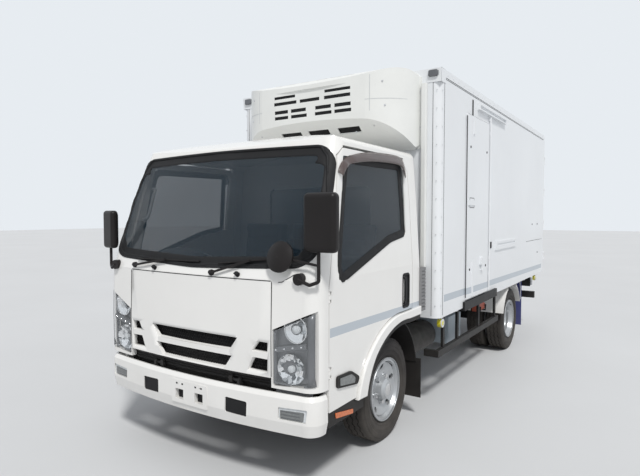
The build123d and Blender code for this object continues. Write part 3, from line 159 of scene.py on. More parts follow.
def finish(
    name,
    colour,
    roughness=0.4,
    metallic=0.0,
    coat=0.0,
    tone=0.05,
    tone_scale=3.0,
    gloss=0.06,
    grain=0.0,
    grain_scale=900.0,
    dust=0.0,
    dust_top=0.9,
    alpha=1.0,
):
    """Material whose tone, gloss and grain vary over the surface, with dust low down."""
    mat = bpy.data.materials.new(name)
    mat.use_nodes = True
    tree = mat.node_tree
    shader = tree.nodes["Principled BSDF"]
    shader.inputs["Metallic"].default_value = metallic
    shader.inputs["Coat Weight"].default_value = coat
    shader.inputs["Coat Roughness"].default_value = COAT_ROUGHNESS
    gleam = DARK_GLEAM if max(colour) < DARK_BELOW else PALE_GLEAM
    shader.inputs["Specular IOR Level"].default_value = gleam
    shader.inputs["Alpha"].default_value = alpha
    place = tree.nodes.new("ShaderNodeTexCoord")
    wide = noise(tree, place, tone_scale, 5)
    ramp = tree.nodes.new("ShaderNodeValToRGB")
    ramp.color_ramp.elements[0].position = TONE_FROM
    ramp.color_ramp.elements[1].position = TONE_TO
    ramp.color_ramp.elements[0].color = (*[c * (1 - tone) for c in colour], 1)
    ramp.color_ramp.elements[1].color = (*[min(1, c * (1 + tone)) for c in colour], 1)
    tree.links.new(wide.outputs["Fac"], ramp.inputs["Fac"])
    colour_out = ramp.outputs["Color"]
    if dust:
        split = tree.nodes.new("ShaderNodeSeparateXYZ")
        tree.links.new(place.outputs["Object"], split.inputs[0])
        low = tree.nodes.new("ShaderNodeMapRange")
        low.inputs["From Min"].default_value = DUST_FOOT
        low.inputs["From Max"].default_value = dust_top
        low.inputs["To Min"].default_value = dust
        low.inputs["To Max"].default_value = 0.0
        tree.links.new(split.outputs["Z"], low.inputs["Value"])
        patch = noise(tree, place, DUST_PATCHES, 8)
        amount = maths(tree, "MULTIPLY", low.outputs["Result"], patch.outputs["Fac"])
        colour_out = blend_colour(tree, amount, colour_out, DUST_COLOUR)
    tree.links.new(colour_out, shader.inputs["Base Color"])
    fine = noise(tree, place, tone_scale * 9, 3)
    spread = tree.nodes.new("ShaderNodeMapRange")
    spread.inputs["To Min"].default_value = max(0.02, roughness - gloss)
    spread.inputs["To Max"].default_value = min(1.0, roughness + gloss)
    tree.links.new(fine.outputs["Fac"], spread.inputs["Value"])
    tree.links.new(spread.outputs["Result"], shader.inputs["Roughness"])
    if grain:
        rough = noise(tree, place, grain_scale, 2)
        bump = tree.nodes.new("ShaderNodeBump")
        bump.inputs["Strength"].default_value = GRAIN_STRENGTH
        bump.inputs["Distance"].default_value = grain
        tree.links.new(rough.outputs["Fac"], bump.inputs["Height"])
        tree.links.new(bump.outputs["Normal"], shader.inputs["Normal"])
    return mat


def noise(tree, place, scale, detail):
    """Noise on the object's own coordinates."""
    node = tree.nodes.new("ShaderNodeTexNoise")
    node.inputs["Scale"].default_value = scale
    node.inputs["Detail"].default_value = detail
    tree.links.new(place.outputs["Object"], node.inputs["Vector"])
    return node


def maths(tree, kind, a, b):
    """One Math node of two values, each a socket or a number."""
    node = tree.nodes.new("ShaderNodeMath")
    node.operation = kind
    for i, value in enumerate((a, b)):
        if isinstance(value, (int, float)):
            node.inputs[i].default_value = value
        else:
            tree.links.new(value, node.inputs[i])
    return node.outputs[0]


def blend_colour(tree, amount, base, over):
    """A colour laid over a base colour's socket by an amount."""
    node = tree.nodes.new("ShaderNodeMix")
    node.data_type = "RGBA"
    tree.links.new(amount, node.inputs[0])
    tree.links.new(base, node.inputs[6])
    node.inputs[7].default_value = (*over, 1)
    return node.outputs[2]


def object_place(tree):
    """The finish's own Texture Coordinate node."""
    return next(n for n in tree.nodes if n.type == "TEX_COORD")


# %% [markdown]
# The silver-blue stripe is part of the paint, not a strip of metal: it runs along the cab's doors and
# the box at waist height, sinking slightly towards the rear. It is painted by a mask on Object
# coordinates, true where z lies between two sloping lines and the surface lies far enough out. A
# thin solid strip would do as well, but its edge would stand off the paint and catch the light.

# %% A stripe painted into a finish
STRIPE_COLOUR = (0.46, 0.51, 0.56)


def add_stripe(mat, z_front, z_rear, width, y_front, y_rear, side):
    """Stripe of a width whose top runs from z_front to z_rear, on surfaces beyond |x| = side."""
    tree = mat.node_tree
    shader = tree.nodes["Principled BSDF"]
    base = shader.inputs["Base Color"].links[0].from_socket
    place = object_place(tree)
    split = tree.nodes.new("ShaderNodeSeparateXYZ")
    tree.links.new(place.outputs["Object"], split.inputs[0])
    slope = (z_rear - z_front) / (y_rear - y_front)
    along = maths(tree, "SUBTRACT", split.outputs["Y"], y_front + AXLE_Y)
    top = maths(tree, "ADD", maths(tree, "MULTIPLY", along, slope), z_front)
    under = maths(tree, "LESS_THAN", split.outputs["Z"], top)
    over = maths(tree, "GREATER_THAN", split.outputs["Z"], maths(tree, "SUBTRACT", top, width))
    behind = maths(tree, "GREATER_THAN", along, 0.0)
    outside = maths(tree, "GREATER_THAN", maths(tree, "ABSOLUTE", split.outputs["X"], 0.0), side)
    across = maths(tree, "MULTIPLY", under, over)
    mask = maths(tree, "MULTIPLY", across, maths(tree, "MULTIPLY", behind, outside))
    tree.links.new(blend_colour(tree, mask, base, STRIPE_COLOUR), shader.inputs["Base Color"])


WHITE = (0.81, 0.805, 0.785)
PAINT = {"coat": 0.5, "tone": 0.015, "gloss": 0.04, "grain": 0.00015, "grain_scale": 420, "dust": 0.25}
cab_white = finish("cab_paint", WHITE, 0.22, **PAINT)
door_white = finish("door_paint", WHITE, 0.22, **PAINT)
add_stripe(door_white, 1.037, 1.018, 0.058, -0.918, 0.48, 0.97)
PANEL_WHITE = (0.79, 0.81, 0.83)
PANEL = {"coat": 0.2, "tone": 0.02, "tone_scale": 1.3, "grain": 0.0004, "grain_scale": 60}
PANEL_DUST = {"dust": 0.3, "dust_top": 1.2}
box_white = finish("box_panel", PANEL_WHITE, 0.34, **PANEL, **PANEL_DUST)
wall_white = finish("box_wall_panel", PANEL_WHITE, 0.34, **PANEL, **PANEL_DUST)
add_stripe(wall_white, 1.035, 0.972, 0.063, 0.80, 5.25, 1.03)
UNIT = {"coat": 0.2, "tone": 0.035, "tone_scale": 2.2, "grain": 0.0002, "grain_scale": 300}
unit_white = finish("unit_shell", (0.77, 0.78, 0.76), 0.3, **UNIT)
print("painted finishes made")

# %% [markdown]
# The other finishes differ in a few numbers: rubber and black plastic are very dark and gleam little,
# bare metal is bright and even, and lenses and window glass let light through by their alpha, because
# real refraction would take long to render and show little more.

# %% Plastics, metals, rubber and glass
frame_black = finish(
    "chassis_paint", (0.014, 0.014, 0.015), 0.5,
    tone=0.3, grain=0.0006, grain_scale=220, dust=0.16
)
black_plastic = finish(
    "black_plastic", (0.016, 0.015, 0.015), 0.48,
    tone=0.2, grain=0.0004, grain_scale=900, dust=0.10
)
mirror_case = finish(
    "mirror_case_plastic", (0.014, 0.012, 0.012), 0.40,
    tone=0.15, grain=0.0003, grain_scale=1200
)
engine_grey = finish(
    "cast_engine", (0.05, 0.05, 0.05), 0.65, metallic=0.3,
    tone=0.3, grain=0.001, grain_scale=150, dust=0.2
)
tank_grey = finish(
    "tank_paint", (0.09, 0.095, 0.10), 0.4, metallic=0.2,
    tone=0.15, grain=0.0003, dust=0.5
)
exhaust_metal = finish(
    "aluminised_steel", (0.060, 0.056, 0.052), 0.6, metallic=0.4,
    tone=0.3, tone_scale=12, dust=0.15
)
flap_blue = finish(
    "blue_flap_rubber", (0.045, 0.055, 0.20), 0.55,
    tone=0.15, grain=0.0008, grain_scale=300, dust=0.25
)
battery_cover = finish(
    "battery_cover_plastic", (0.36, 0.42, 0.47), 0.5,
    tone=0.12, grain=0.0005, dust=0.35
)
intake_grey = finish("intake_plastic", (0.20, 0.20, 0.205), 0.55, tone=0.15, grain=0.0004, dust=0.2)
dash_grey = finish("dash_plastic", (0.10, 0.105, 0.115), 0.55, tone=0.10, grain=0.0002, grain_scale=700)
zinc_steel = finish(
    "zinc_plate", (0.62, 0.63, 0.64), 0.32, metallic=0.85,
    tone=0.12, tone_scale=20, grain=0.0002
)
wheel_silver = finish(
    "wheel_silver_paint", (0.46, 0.48, 0.50), 0.30, metallic=0.55, coat=0.3,
    tone=0.08, tone_scale=6, grain=0.0003, grain_scale=260, dust=0.35, dust_top=0.8
)
bright_steel = finish(
    "polished_cap_steel", (0.72, 0.72, 0.72), 0.12, metallic=1.0,
    tone=0.05, tone_scale=30, gloss=0.04
)
chrome = finish(
    "reflector_chrome", (0.86, 0.87, 0.88), 0.06, metallic=1.0,
    tone=0.04, tone_scale=25, gloss=0.03
)
lamp_grey = finish(
    "lamp_housing_plastic", (0.15, 0.155, 0.165), 0.32, metallic=0.5,
    tone=0.12, grain=0.0003
)
seal_black = finish("seal_rubber", (0.014, 0.014, 0.015), 0.6, tone=0.2, grain=0.0004)
# Near black for the dash vents' louvres, and painted shade: sheets and boxes of it sit in openings and
# slots where there is only shade.
shade_and_vent_black = finish("painted_shade_and_vent_black", (0.011, 0.011, 0.012), 0.6, tone=0.3, grain=0.0005)
yellow_lens = finish("yellow_lens", (0.62, 0.55, 0.03), 0.18, coat=0.4, tone=0.12, tone_scale=25)
red_lens = finish("red_lens", (0.42, 0.015, 0.012), 0.15, coat=0.5, tone=0.15, tone_scale=40)
smoke_lens = finish(
    "smoked_lens", (0.17, 0.18, 0.18), 0.12, coat=0.5,
    tone=0.15, tone_scale=40, grain=0.0006, grain_scale=160
)
amber_lens = finish("amber_lens", (0.60, 0.14, 0.03), 0.2, coat=0.5, tone=0.15, tone_scale=40)
clear_lens = finish("clear_lens", (0.55, 0.58, 0.60), 0.05, tone=0.03, alpha=0.10, gloss=0.02)
white_lens = finish(
    "frosted_lens", (0.62, 0.65, 0.67), 0.2, coat=0.6,
    tone=0.1, tone_scale=45, grain=0.0008, grain_scale=160
)
chock_red = finish("chock_rubber", (0.42, 0.075, 0.035), 0.55, tone=0.15, grain=0.0006, dust=0.4)
cab_glass = finish("tinted_glass", (0.012, 0.026, 0.040), 0.03, tone=0.1, gloss=0.01, alpha=0.44)
visor_smoke = finish("smoked_visor", (0.10, 0.07, 0.065), 0.12, coat=0.5, tone=0.1, alpha=0.66)
glint_painted_chrome = finish(
    "cut_reflector_chrome_painted_glints", (0.80, 0.82, 0.84), 0.05, metallic=1.0,
    tone=0.0, gloss=0.03
)
mirror_glass = finish("mirror_glass", (0.86, 0.88, 0.88), 0.02, metallic=1.0, tone=0.02, gloss=0.01)
# The lower bowl's chrome has painted glints: Voronoi cells make its base colour dark in some places and
# bright in others, as each cut facet would catch the light or miss it.
tree = glint_painted_chrome.node_tree
place = object_place(tree)
facets = tree.nodes.new("ShaderNodeTexVoronoi")
facets.inputs["Scale"].default_value = 46
tree.links.new(place.outputs["Object"], facets.inputs["Vector"])
glint_ramp = tree.nodes.new("ShaderNodeValToRGB")
glint_ramp.color_ramp.elements[0].position = 0.25
glint_ramp.color_ramp.elements[0].color = (0.10, 0.11, 0.12, 1)
glint_ramp.color_ramp.elements[1].position = 0.62
glint_ramp.color_ramp.elements[1].color = (0.95, 0.96, 0.97, 1)
tree.links.new(facets.outputs["Color"], glint_ramp.inputs["Fac"])
tree.links.new(glint_ramp.outputs["Color"], tree.nodes["Principled BSDF"].inputs["Base Color"])
label_grey = finish("plain_tag_plastic", (0.55, 0.57, 0.58), 0.4, tone=0.05, grain=0.0002)
floor_finish = finish("studio_floor_finish", (0.60, 0.61, 0.62), 0.75, tone=0.02, tone_scale=0.4)
floor_mesh.materials.append(floor_finish)
print("other finishes made:", len(bpy.data.materials), "materials")

# %% [markdown]
# Most rigid nodes already have their true form from the workshop model, so they only change
# their finish. A table names the nodes of each finish. Those that a finer piece replaces below
# are in it too, so that no node is ever without one.

# %% The carried-over nodes' finishes
NODE_FINISHES = (
    (frame_black, ("chassis_frame", "front_axle", "rear_axle", "leaf_springs", "side_guards")),
    (frame_black, ("rear_underrun", "knuckle_left", "knuckle_right", "tie_rod")),
    (engine_grey, ("engine_block",)),
    (tank_grey, ("fuel_tank",)),
    (battery_cover, ("battery_box",)),
    (exhaust_metal, ("exhaust_unit",)),
    (black_plastic, ("mudguards", "cab_floor")),
    (flap_blue, ("mud_flaps",)),
    (white_lens, ("body_lamps",)),
    (box_white, ("box_floor", "box_front_wall", "box_roof", "rear_frame", "side_door_gear")),
    (box_white, ("rear_door_left", "rear_door_right")),
    (wall_white, ("box_left_wall", "box_right_wall", "side_door")),
    (unit_white, ("fridge_unit",)),
    (cab_white, ("cab_roof", "cab_front", "front_panel", "front_bumper", "rear_fenders", "arch_flares")),
    (door_white, ("cab_back", "door_left", "door_right")),
    (cab_glass, ("cab_glass", "door_left_glass", "door_right_glass")),
    (clear_lens, ("headlamps",)),
    (dash_grey, ("dashboard", "steering_wheel", "seats")),
    (mirror_case, ("mirrors",)),
    (intake_grey, ("air_intake",)),
    (wheel_silver, ("front_wheel_left", "front_wheel_right", "rear_wheel_left", "rear_wheel_right")),
    (seal_black, ("front_tyre_left", "front_tyre_right", "rear_tyre_left", "rear_tyre_right")),
)
finished = set()
for node_finish, names in NODE_FINISHES:
    for node_name in names:
        node_object = nodes[node_name]
        if not node_object.material_slots:
            node_object.data.materials.append(node_finish)
        for material_slot in node_object.material_slots:
            material_slot.material = node_finish
        finished.add(node_name)
print("finished nodes:", len(finished), "missing:", sorted(set(nodes) - finished))

# %% [markdown]
# Small parts share a few ways of being made. Each is drawn in a bmesh: boxes, bars that
# follow a path, turned profiles, sheets and skins over rings. One function turns the bmesh into
# an object, smooths it, names its finish and lets it ride on the body that carries it.

# %% Mesh helpers
def piece(name, bm, mat, body, bevel=0.0, smooth=40, replaces=()):
    """Object from a bmesh, with its finish, riding on a body; bevel rounds its edges."""
    bmesh.ops.remove_doubles(bm, verts=bm.verts, dist=1e-6)
    bmesh.ops.recalc_face_normals(bm, faces=bm.faces)
    mesh = bpy.data.meshes.new(name)
    bm.to_mesh(mesh)
    bm.free()
    return dress(name, mesh, mat, body, bevel, smooth, replaces)


def dress(name, mesh, mat, body, bevel=0.0, smooth=40, replaces=()):
    """Object from a finished mesh, with its finish, riding on a body."""
    obj = bpy.data.objects.new(name, mesh)
    scene.collection.objects.link(obj)
    mesh.materials.clear()
    mesh.materials.append(mat)
    if smooth:
        mesh.shade_smooth()
        mesh.set_sharp_from_angle(angle=radians(smooth))
    if bevel:
        rounding = obj.modifiers.new("rounding", "BEVEL")
        rounding.width = bevel
        rounding.segments = 2
        rounding.limit_method = "ANGLE"
        rounding.angle_limit = radians(35)
    for node in replaces:
        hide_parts(node)
    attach(obj, body)
    return obj


def add_box(bm, low, high):
    """Box between two corners given as x, y behind the front axle, z."""
    xs, ys, zs = zip(low, high)
    v = [bm.verts.new(at(x, y, z)) for x in xs for y in ys for z in zs]
    for a, b, c, d in ((0, 1, 3, 2), (4, 6, 7, 5), (0, 4, 5, 1), (2, 3, 7, 6), (0, 2, 6, 4), (1, 5, 7, 3)):
        bm.faces.new((v[a], v[b], v[c], v[d]))


def add_turned(bm, profile, centre, axis, sides=32, hoop=False):
    """Turned body of (distance along the axis, radius) pairs; a hoop's section closes on itself."""
    axis = Vector(axis).normalized()
    across = axis.orthogonal().normalized()
    other = axis.cross(across)
    rings = []
    for along, radius in profile:
        middle = Vector(centre) + axis * along
        if radius < 1e-6:
            rings.append([bm.verts.new(middle)])
            continue
        turns = [2 * pi * i / sides for i in range(sides)]
        rings.append([bm.verts.new(middle + (across * cos(t) + other * sin(t)) * radius) for t in turns])
    for first, second in zip(rings, rings[1:]):
        join_rings(bm, first, second)
    if hoop:
        join_rings(bm, rings[-1], rings[0])
        return
    for end in (rings[0], rings[-1]):
        if len(end) > 2:
            bm.faces.new(end)


def join_rings(bm, first, second):
    """Faces between two rings of vertices, or between a ring and a point."""
    count = max(len(first), len(second))
    for i in range(count):
        j = (i + 1) % count
        if len(first) == 1:
            bm.faces.new((first[0], second[i], second[j]))
        elif len(second) == 1:
            bm.faces.new((first[i], first[j], second[0]))
        else:
            bm.faces.new((first[i], first[j], second[j], second[i]))


def add_shell(bm, rings, foot=True):
    """Skin over rings of vertices, with a face over the last ring and, as a foot, over the first."""
    for first, second in zip(rings, rings[1:]):
        join_rings(bm, first, second)
    if foot:
        bm.faces.new(rings[0])
    bm.faces.new(rings[-1])


def add_bar(bm, points, width, height=None, up=(0, 0, 1), sides=12):
    """Bar along a path of points: round for one width, flat for a width and a height."""
    points = [Vector(p) for p in points]
    rings = []
    for i, p in enumerate(points):
        ahead = (points[min(i + 1, len(points) - 1)] - points[max(i - 1, 0)]).normalized()
        side = ahead.cross(Vector(up)).normalized()
        rise = side.cross(ahead).normalized()
        if height is None:
            turns = [2 * pi * k / sides for k in range(sides)]
            ring = [p + (side * cos(t) + rise * sin(t)) * width / 2 for t in turns]
        else:
            corners = ((1, 1), (-1, 1), (-1, -1), (1, -1))
            ring = [p + side * (a * width / 2) + rise * (b * height / 2) for a, b in corners]
        rings.append([bm.verts.new(q) for q in ring])
    add_shell(bm, rings)


def smooth_path(points, count=24):
    """Points along a smooth curve through a few given points."""
    knots = [Vector(p) for p in points]
    knots = [2 * knots[0] - knots[1], *knots, 2 * knots[-1] - knots[-2]]
    result = []
    spans = len(knots) - 3
    for i in range(count + 1):
        u = i / count * spans
        k = min(int(u), spans - 1)
        t = u - k
        a, b, c, d = knots[k : k + 4]
        bend = (2 * a - 5 * b + 4 * c - d) * t**2 + (3 * b - a - 3 * c + d) * t**3
        result.append(0.5 * (2 * b + (c - a) * t + bend))
    return result


def add_sheet(bm, rows):
    """Sheet of four-sided faces between rows of vertices, left open where a vertex is None."""
    for first, second in zip(rows, rows[1:]):
        for corners in zip(first, first[1:], second[1:], second):
            if all(corners):
                bm.faces.new(corners)


def scaled(points, centre, share):
    """Points of an outline, scaled about a centre."""
    return [centre + (p - centre) * share for p in points]


# %% [markdown]
# Lamps, wipers and seals have to lie on curved panels. A ray cast against the workshop model finds
# where the panel is, so a place needs only the two numbers that show in the view. A Shrinkwrap
# modifier could press a finished piece on the skin, but it would bend pieces that are rigid.

# %% Places on the carried-over surfaces
SURFACES = {}
FAR_OFF = 2.5


def surface(names):
    """Search tree of the joined nodes, made once."""
    if names not in SURFACES:
        verts = []
        faces = []
        for name in names:
            start = len(verts)
            verts += [v.co.copy() for v in nodes[name].data.vertices]
            faces += [[start + i for i in p.vertices] for p in nodes[name].data.polygons]
        SURFACES[names] = BVHTree.FromPolygons(verts, faces)
    return SURFACES[names]


def meet(names, start, aim, lift):
    """Point where a ray meets the nodes, lifted off them; in a gap, a ray beside it is used."""
    rise = Vector((0, 0, 1))
    beside = rise.cross(aim)
    for step in (0.0, 0.008, 0.016, 0.03):
        for shift in (beside * step, beside * -step, rise * step, rise * -step):
            hit, normal, _, _ = surface(names).ray_cast(start + shift, aim)
            if hit:
                outward = normal if normal.dot(aim) < 0 else -normal
                return hit - shift + outward * lift
    raise ValueError(f"nothing of {names} at {start}")


def on_front(x, z, names, lift=0.0):
    """Point on the front of the nodes at x and z, lifted forwards by a distance."""
    return meet(names, at(x, -FAR_OFF, z), Vector((0, 1, 0)), lift)


def on_side(y, z, names, lift=0.0, sign=1):
    """Point on one side of the nodes at y and z, lifted outwards by a distance."""
    return meet(names, at(sign * FAR_OFF, y, z), Vector((-sign, 0, 0)), lift)


FRONT = ("cab_front", "front_panel", "cab_glass")
AHEAD = (0, -1, 0)
print("front skin at x 0.5, z 1.2:", [round(c, 3) for c in on_front(0.5, 1.2, FRONT)])

# %% [markdown]
# Nuts, rivets and screws repeat. Geometry Nodes make them from a few named inputs: one tree
# sets a small turned body on every point of a mesh, facing the way that a stored direction
# says; another sets a six-sided ring on every point, which makes a honeycomb. Each result is turned
# into a plain mesh.

# %% Geometry Nodes: a fastener on each point
def new_tree(name, inputs):
    """Geometry Nodes tree with named inputs, each a (name, socket type, default) row."""
    tree = bpy.data.node_groups.new(name, "GeometryNodeTree")
    tree.interface.new_socket("Geometry", in_out="INPUT", socket_type="NodeSocketGeometry")
    for label, kind, default in inputs:
        socket = tree.interface.new_socket(label, in_out="INPUT", socket_type=kind)
        if default is not None:
            socket.default_value = default
    tree.interface.new_socket("Geometry", in_out="OUTPUT", socket_type="NodeSocketGeometry")
    return tree, tree.nodes.new("NodeGroupInput"), tree.nodes.new("NodeGroupOutput")


def close_tree(tree, given, made, result):
    """End a tree with Realize Instances and Set Material."""
    realize = tree.nodes.new("GeometryNodeRealizeInstances")
    paint = tree.nodes.new("GeometryNodeSetMaterial")
    tree.links.new(made, realize.inputs["Geometry"])
    tree.links.new(realize.outputs["Geometry"], paint.inputs["Geometry"])
    tree.links.new(given.outputs["Material"], paint.inputs["Material"])
    tree.links.new(paint.outputs["Geometry"], result.inputs["Geometry"])


FASTENER_INPUTS = (
    ("Sides", "NodeSocketInt", 6),
    ("Radius", "NodeSocketFloat", 0.01),
    ("Top radius", "NodeSocketFloat", 0.01),
    ("Height", "NodeSocketFloat", 0.01),
    ("Material", "NodeSocketMaterial", None),
)
fastener_tree, given, result = new_tree("fasteners_on_points", FASTENER_INPUTS)
head = fastener_tree.nodes.new("GeometryNodeMeshCone")
HEAD_SOCKETS = (
    ("Sides", "Vertices"), ("Radius", "Radius Bottom"), ("Top radius", "Radius Top"), ("Height", "Depth"),
)
for label, socket in HEAD_SOCKETS:
    fastener_tree.links.new(given.outputs[label], head.inputs[socket])
facing = fastener_tree.nodes.new("GeometryNodeInputNamedAttribute")
facing.data_type = "FLOAT_VECTOR"
facing.inputs["Name"].default_value = "facing"
aim = fastener_tree.nodes.new("FunctionNodeAlignRotationToVector")
aim.axis = "Z"
fastener_tree.links.new(facing.outputs["Attribute"], aim.inputs["Vector"])
spots = fastener_tree.nodes.new("GeometryNodeMeshToPoints")
placed = fastener_tree.nodes.new("GeometryNodeInstanceOnPoints")
fastener_tree.links.new(given.outputs["Geometry"], spots.inputs["Mesh"])
fastener_tree.links.new(spots.outputs["Points"], placed.inputs["Points"])
fastener_tree.links.new(head.outputs["Mesh"], placed.inputs["Instance"])
fastener_tree.links.new(aim.outputs["Rotation"], placed.inputs["Rotation"])
close_tree(fastener_tree, given, placed.outputs["Instances"], result)


def grow(name, base, tree, values, mat, body, smooth=30):
    """Run a Geometry Nodes tree on a mesh and keep the result as a plain mesh on a body."""
    source = bpy.data.objects.new(name + "_source", base)
    scene.collection.objects.link(source)
    modifier = source.modifiers.new("repeat", "NODES")
    modifier.node_group = tree
    items = tree.interface.items_tree
    sockets = {item.name: item.identifier for item in items if item.in_out == "INPUT"}
    for label, value in {**values, "Material": mat}.items():
        modifier[sockets[label]] = value
    depsgraph = bpy.context.evaluated_depsgraph_get()
    mesh = bpy.data.meshes.new_from_object(source.evaluated_get(depsgraph))
    bpy.data.objects.remove(source)
    mesh.name = name
    return dress(name, mesh, mat, body, smooth=smooth)


def fasteners(name, spots, body, slot, mat, radius, height, sides=6, top=None):
    """Fasteners at (point, direction) pairs, standing on their surface."""
    base = bpy.data.meshes.new(name + "_points")
    base.from_pydata([Vector(p) for p, _ in spots], [], [])
    store = base.attributes.new("facing", "FLOAT_VECTOR", "POINT")
    for i, (_, direction) in enumerate(spots):
        store.data[i].vector = Vector(direction).normalized()
    top = radius if top is None else top
    values = {"Sides": sides, "Radius": radius, "Top radius": top, "Height": height}
    return grow(name, base, fastener_tree, values, mat, body)


print("fasteners' inputs:", [row[0] for row in FASTENER_INPUTS])

# %% Geometry Nodes: a honeycomb screen
MESH_INPUTS = (
    ("Cell", "NodeSocketFloat", 0.012),
    ("Bar", "NodeSocketFloat", 0.002),
    ("Material", "NodeSocketMaterial", None),
)
screen_tree, given, result = new_tree("honeycomb_screen", MESH_INPUTS)
cell_ring = screen_tree.nodes.new("GeometryNodeCurvePrimitiveCircle")
cell_ring.inputs["Resolution"].default_value = 6
bar_ring = screen_tree.nodes.new("GeometryNodeCurvePrimitiveCircle")
bar_ring.inputs["Resolution"].default_value = 4
screen_tree.links.new(given.outputs["Cell"], cell_ring.inputs["Radius"])
screen_tree.links.new(given.outputs["Bar"], bar_ring.inputs["Radius"])
cell_mesh = screen_tree.nodes.new("GeometryNodeCurveToMesh")
screen_tree.links.new(cell_ring.outputs["Curve"], cell_mesh.inputs["Curve"])
screen_tree.links.new(bar_ring.outputs["Curve"], cell_mesh.inputs["Profile Curve"])
screen_cells = screen_tree.nodes.new("GeometryNodeInstanceOnPoints")
screen_points = screen_tree.nodes.new("GeometryNodeMeshToPoints")
screen_tree.links.new(given.outputs["Geometry"], screen_points.inputs["Mesh"])
screen_tree.links.new(screen_points.outputs["Points"], screen_cells.inputs["Points"])
screen_tree.links.new(cell_mesh.outputs["Mesh"], screen_cells.inputs["Instance"])
turn = screen_tree.nodes.new("FunctionNodeEulerToRotation")
turn.inputs["Euler"].default_value = (radians(90), radians(30), 0)
screen_tree.links.new(turn.outputs["Rotation"], screen_cells.inputs["Rotation"])
close_tree(screen_tree, given, screen_cells.outputs["Instances"], result)
print("trees:", [t.name for t in bpy.data.node_groups])

# %% [markdown]
# The headlamp is a clear shell over a grey housing with two bright bowls. The outer skin of the
# workshop model's lamp is copied as the lens, and the same skin, pushed back by a few
# centimetres, is the housing's face. The upper bowl is round, the lower one is broad and cut in
# facets. One solid with a bright finish would be quicker, but only real depth behind the lens
# gives the lamp its dark corners and its shine.

# %% A lamp's skin, a sheet's thickness and a bowl
LAMP_X = (0.697, 0.973)
LAMP_Z = (0.69, 1.16)
LAMP_TOP = 1.018
LAMP_TOP_SLOPE = 0.455
TOP_REACH = 0.012
CORNER = ("headlamps", "cab_front")


def lamp_top(x):
    """Height of a lamp's sloping top at a distance from the middle of the truck."""
    return LAMP_TOP + LAMP_TOP_SLOPE * (x - LAMP_X[0])


def lamp_skin(depth, sign, columns=26, rows=40):
    """Sheet over a lamp's outer skin, pushed back by a depth."""
    bm = bmesh.new()
    grid = []
    xs = [LAMP_X[0] + (LAMP_X[1] - LAMP_X[0]) * i / columns for i in range(columns + 1)]
    for j in range(rows + 1):
        z = LAMP_Z[0] + (LAMP_Z[1] - LAMP_Z[0]) * j / rows
        row = []
        for x in xs:
            inside = z < lamp_top(x) + TOP_REACH
            spot = on_front(sign * x, min(z, lamp_top(x)), CORNER, -depth) if inside else None
            row.append(bm.verts.new(spot) if inside else None)
        grid.append(row)
    add_sheet(bm, grid)
    loose = [v for v in bm.verts if not v.link_faces]
    bmesh.ops.delete(bm, geom=loose, context="VERTS")
    return bm


def solid(obj, thickness, offset=-1.0):
    """Give a sheet its thickness."""
    shell = obj.modifiers.new("thickness", "SOLIDIFY")
    shell.thickness = thickness
    shell.offset = offset
    return obj


def bowl(bm, centre, radius, depth, rings=7, sides=36, squash=1.0):
    """Dish open to the front: a paraboloid with its rim round a centre."""
    loops = []
    for k in range(rings + 1):
        share = k / rings
        ring = []
        for i in range(sides):
            t = 2 * pi * i / sides
            x, z = cos(t) * radius * share, sin(t) * radius * share * squash
            ring.append(bm.verts.new(centre + Vector((x, depth * (1 - share**2), z))))
        loops.append(ring)
    for first, second in zip(loops[1:], loops[2:]):
        join_rings(bm, first, second)
    bm.faces.new(loops[1])
    bmesh.ops.delete(bm, geom=loops[0], context="VERTS")


print("a lamp's top at its inner edge:", lamp_top(LAMP_X[0]))

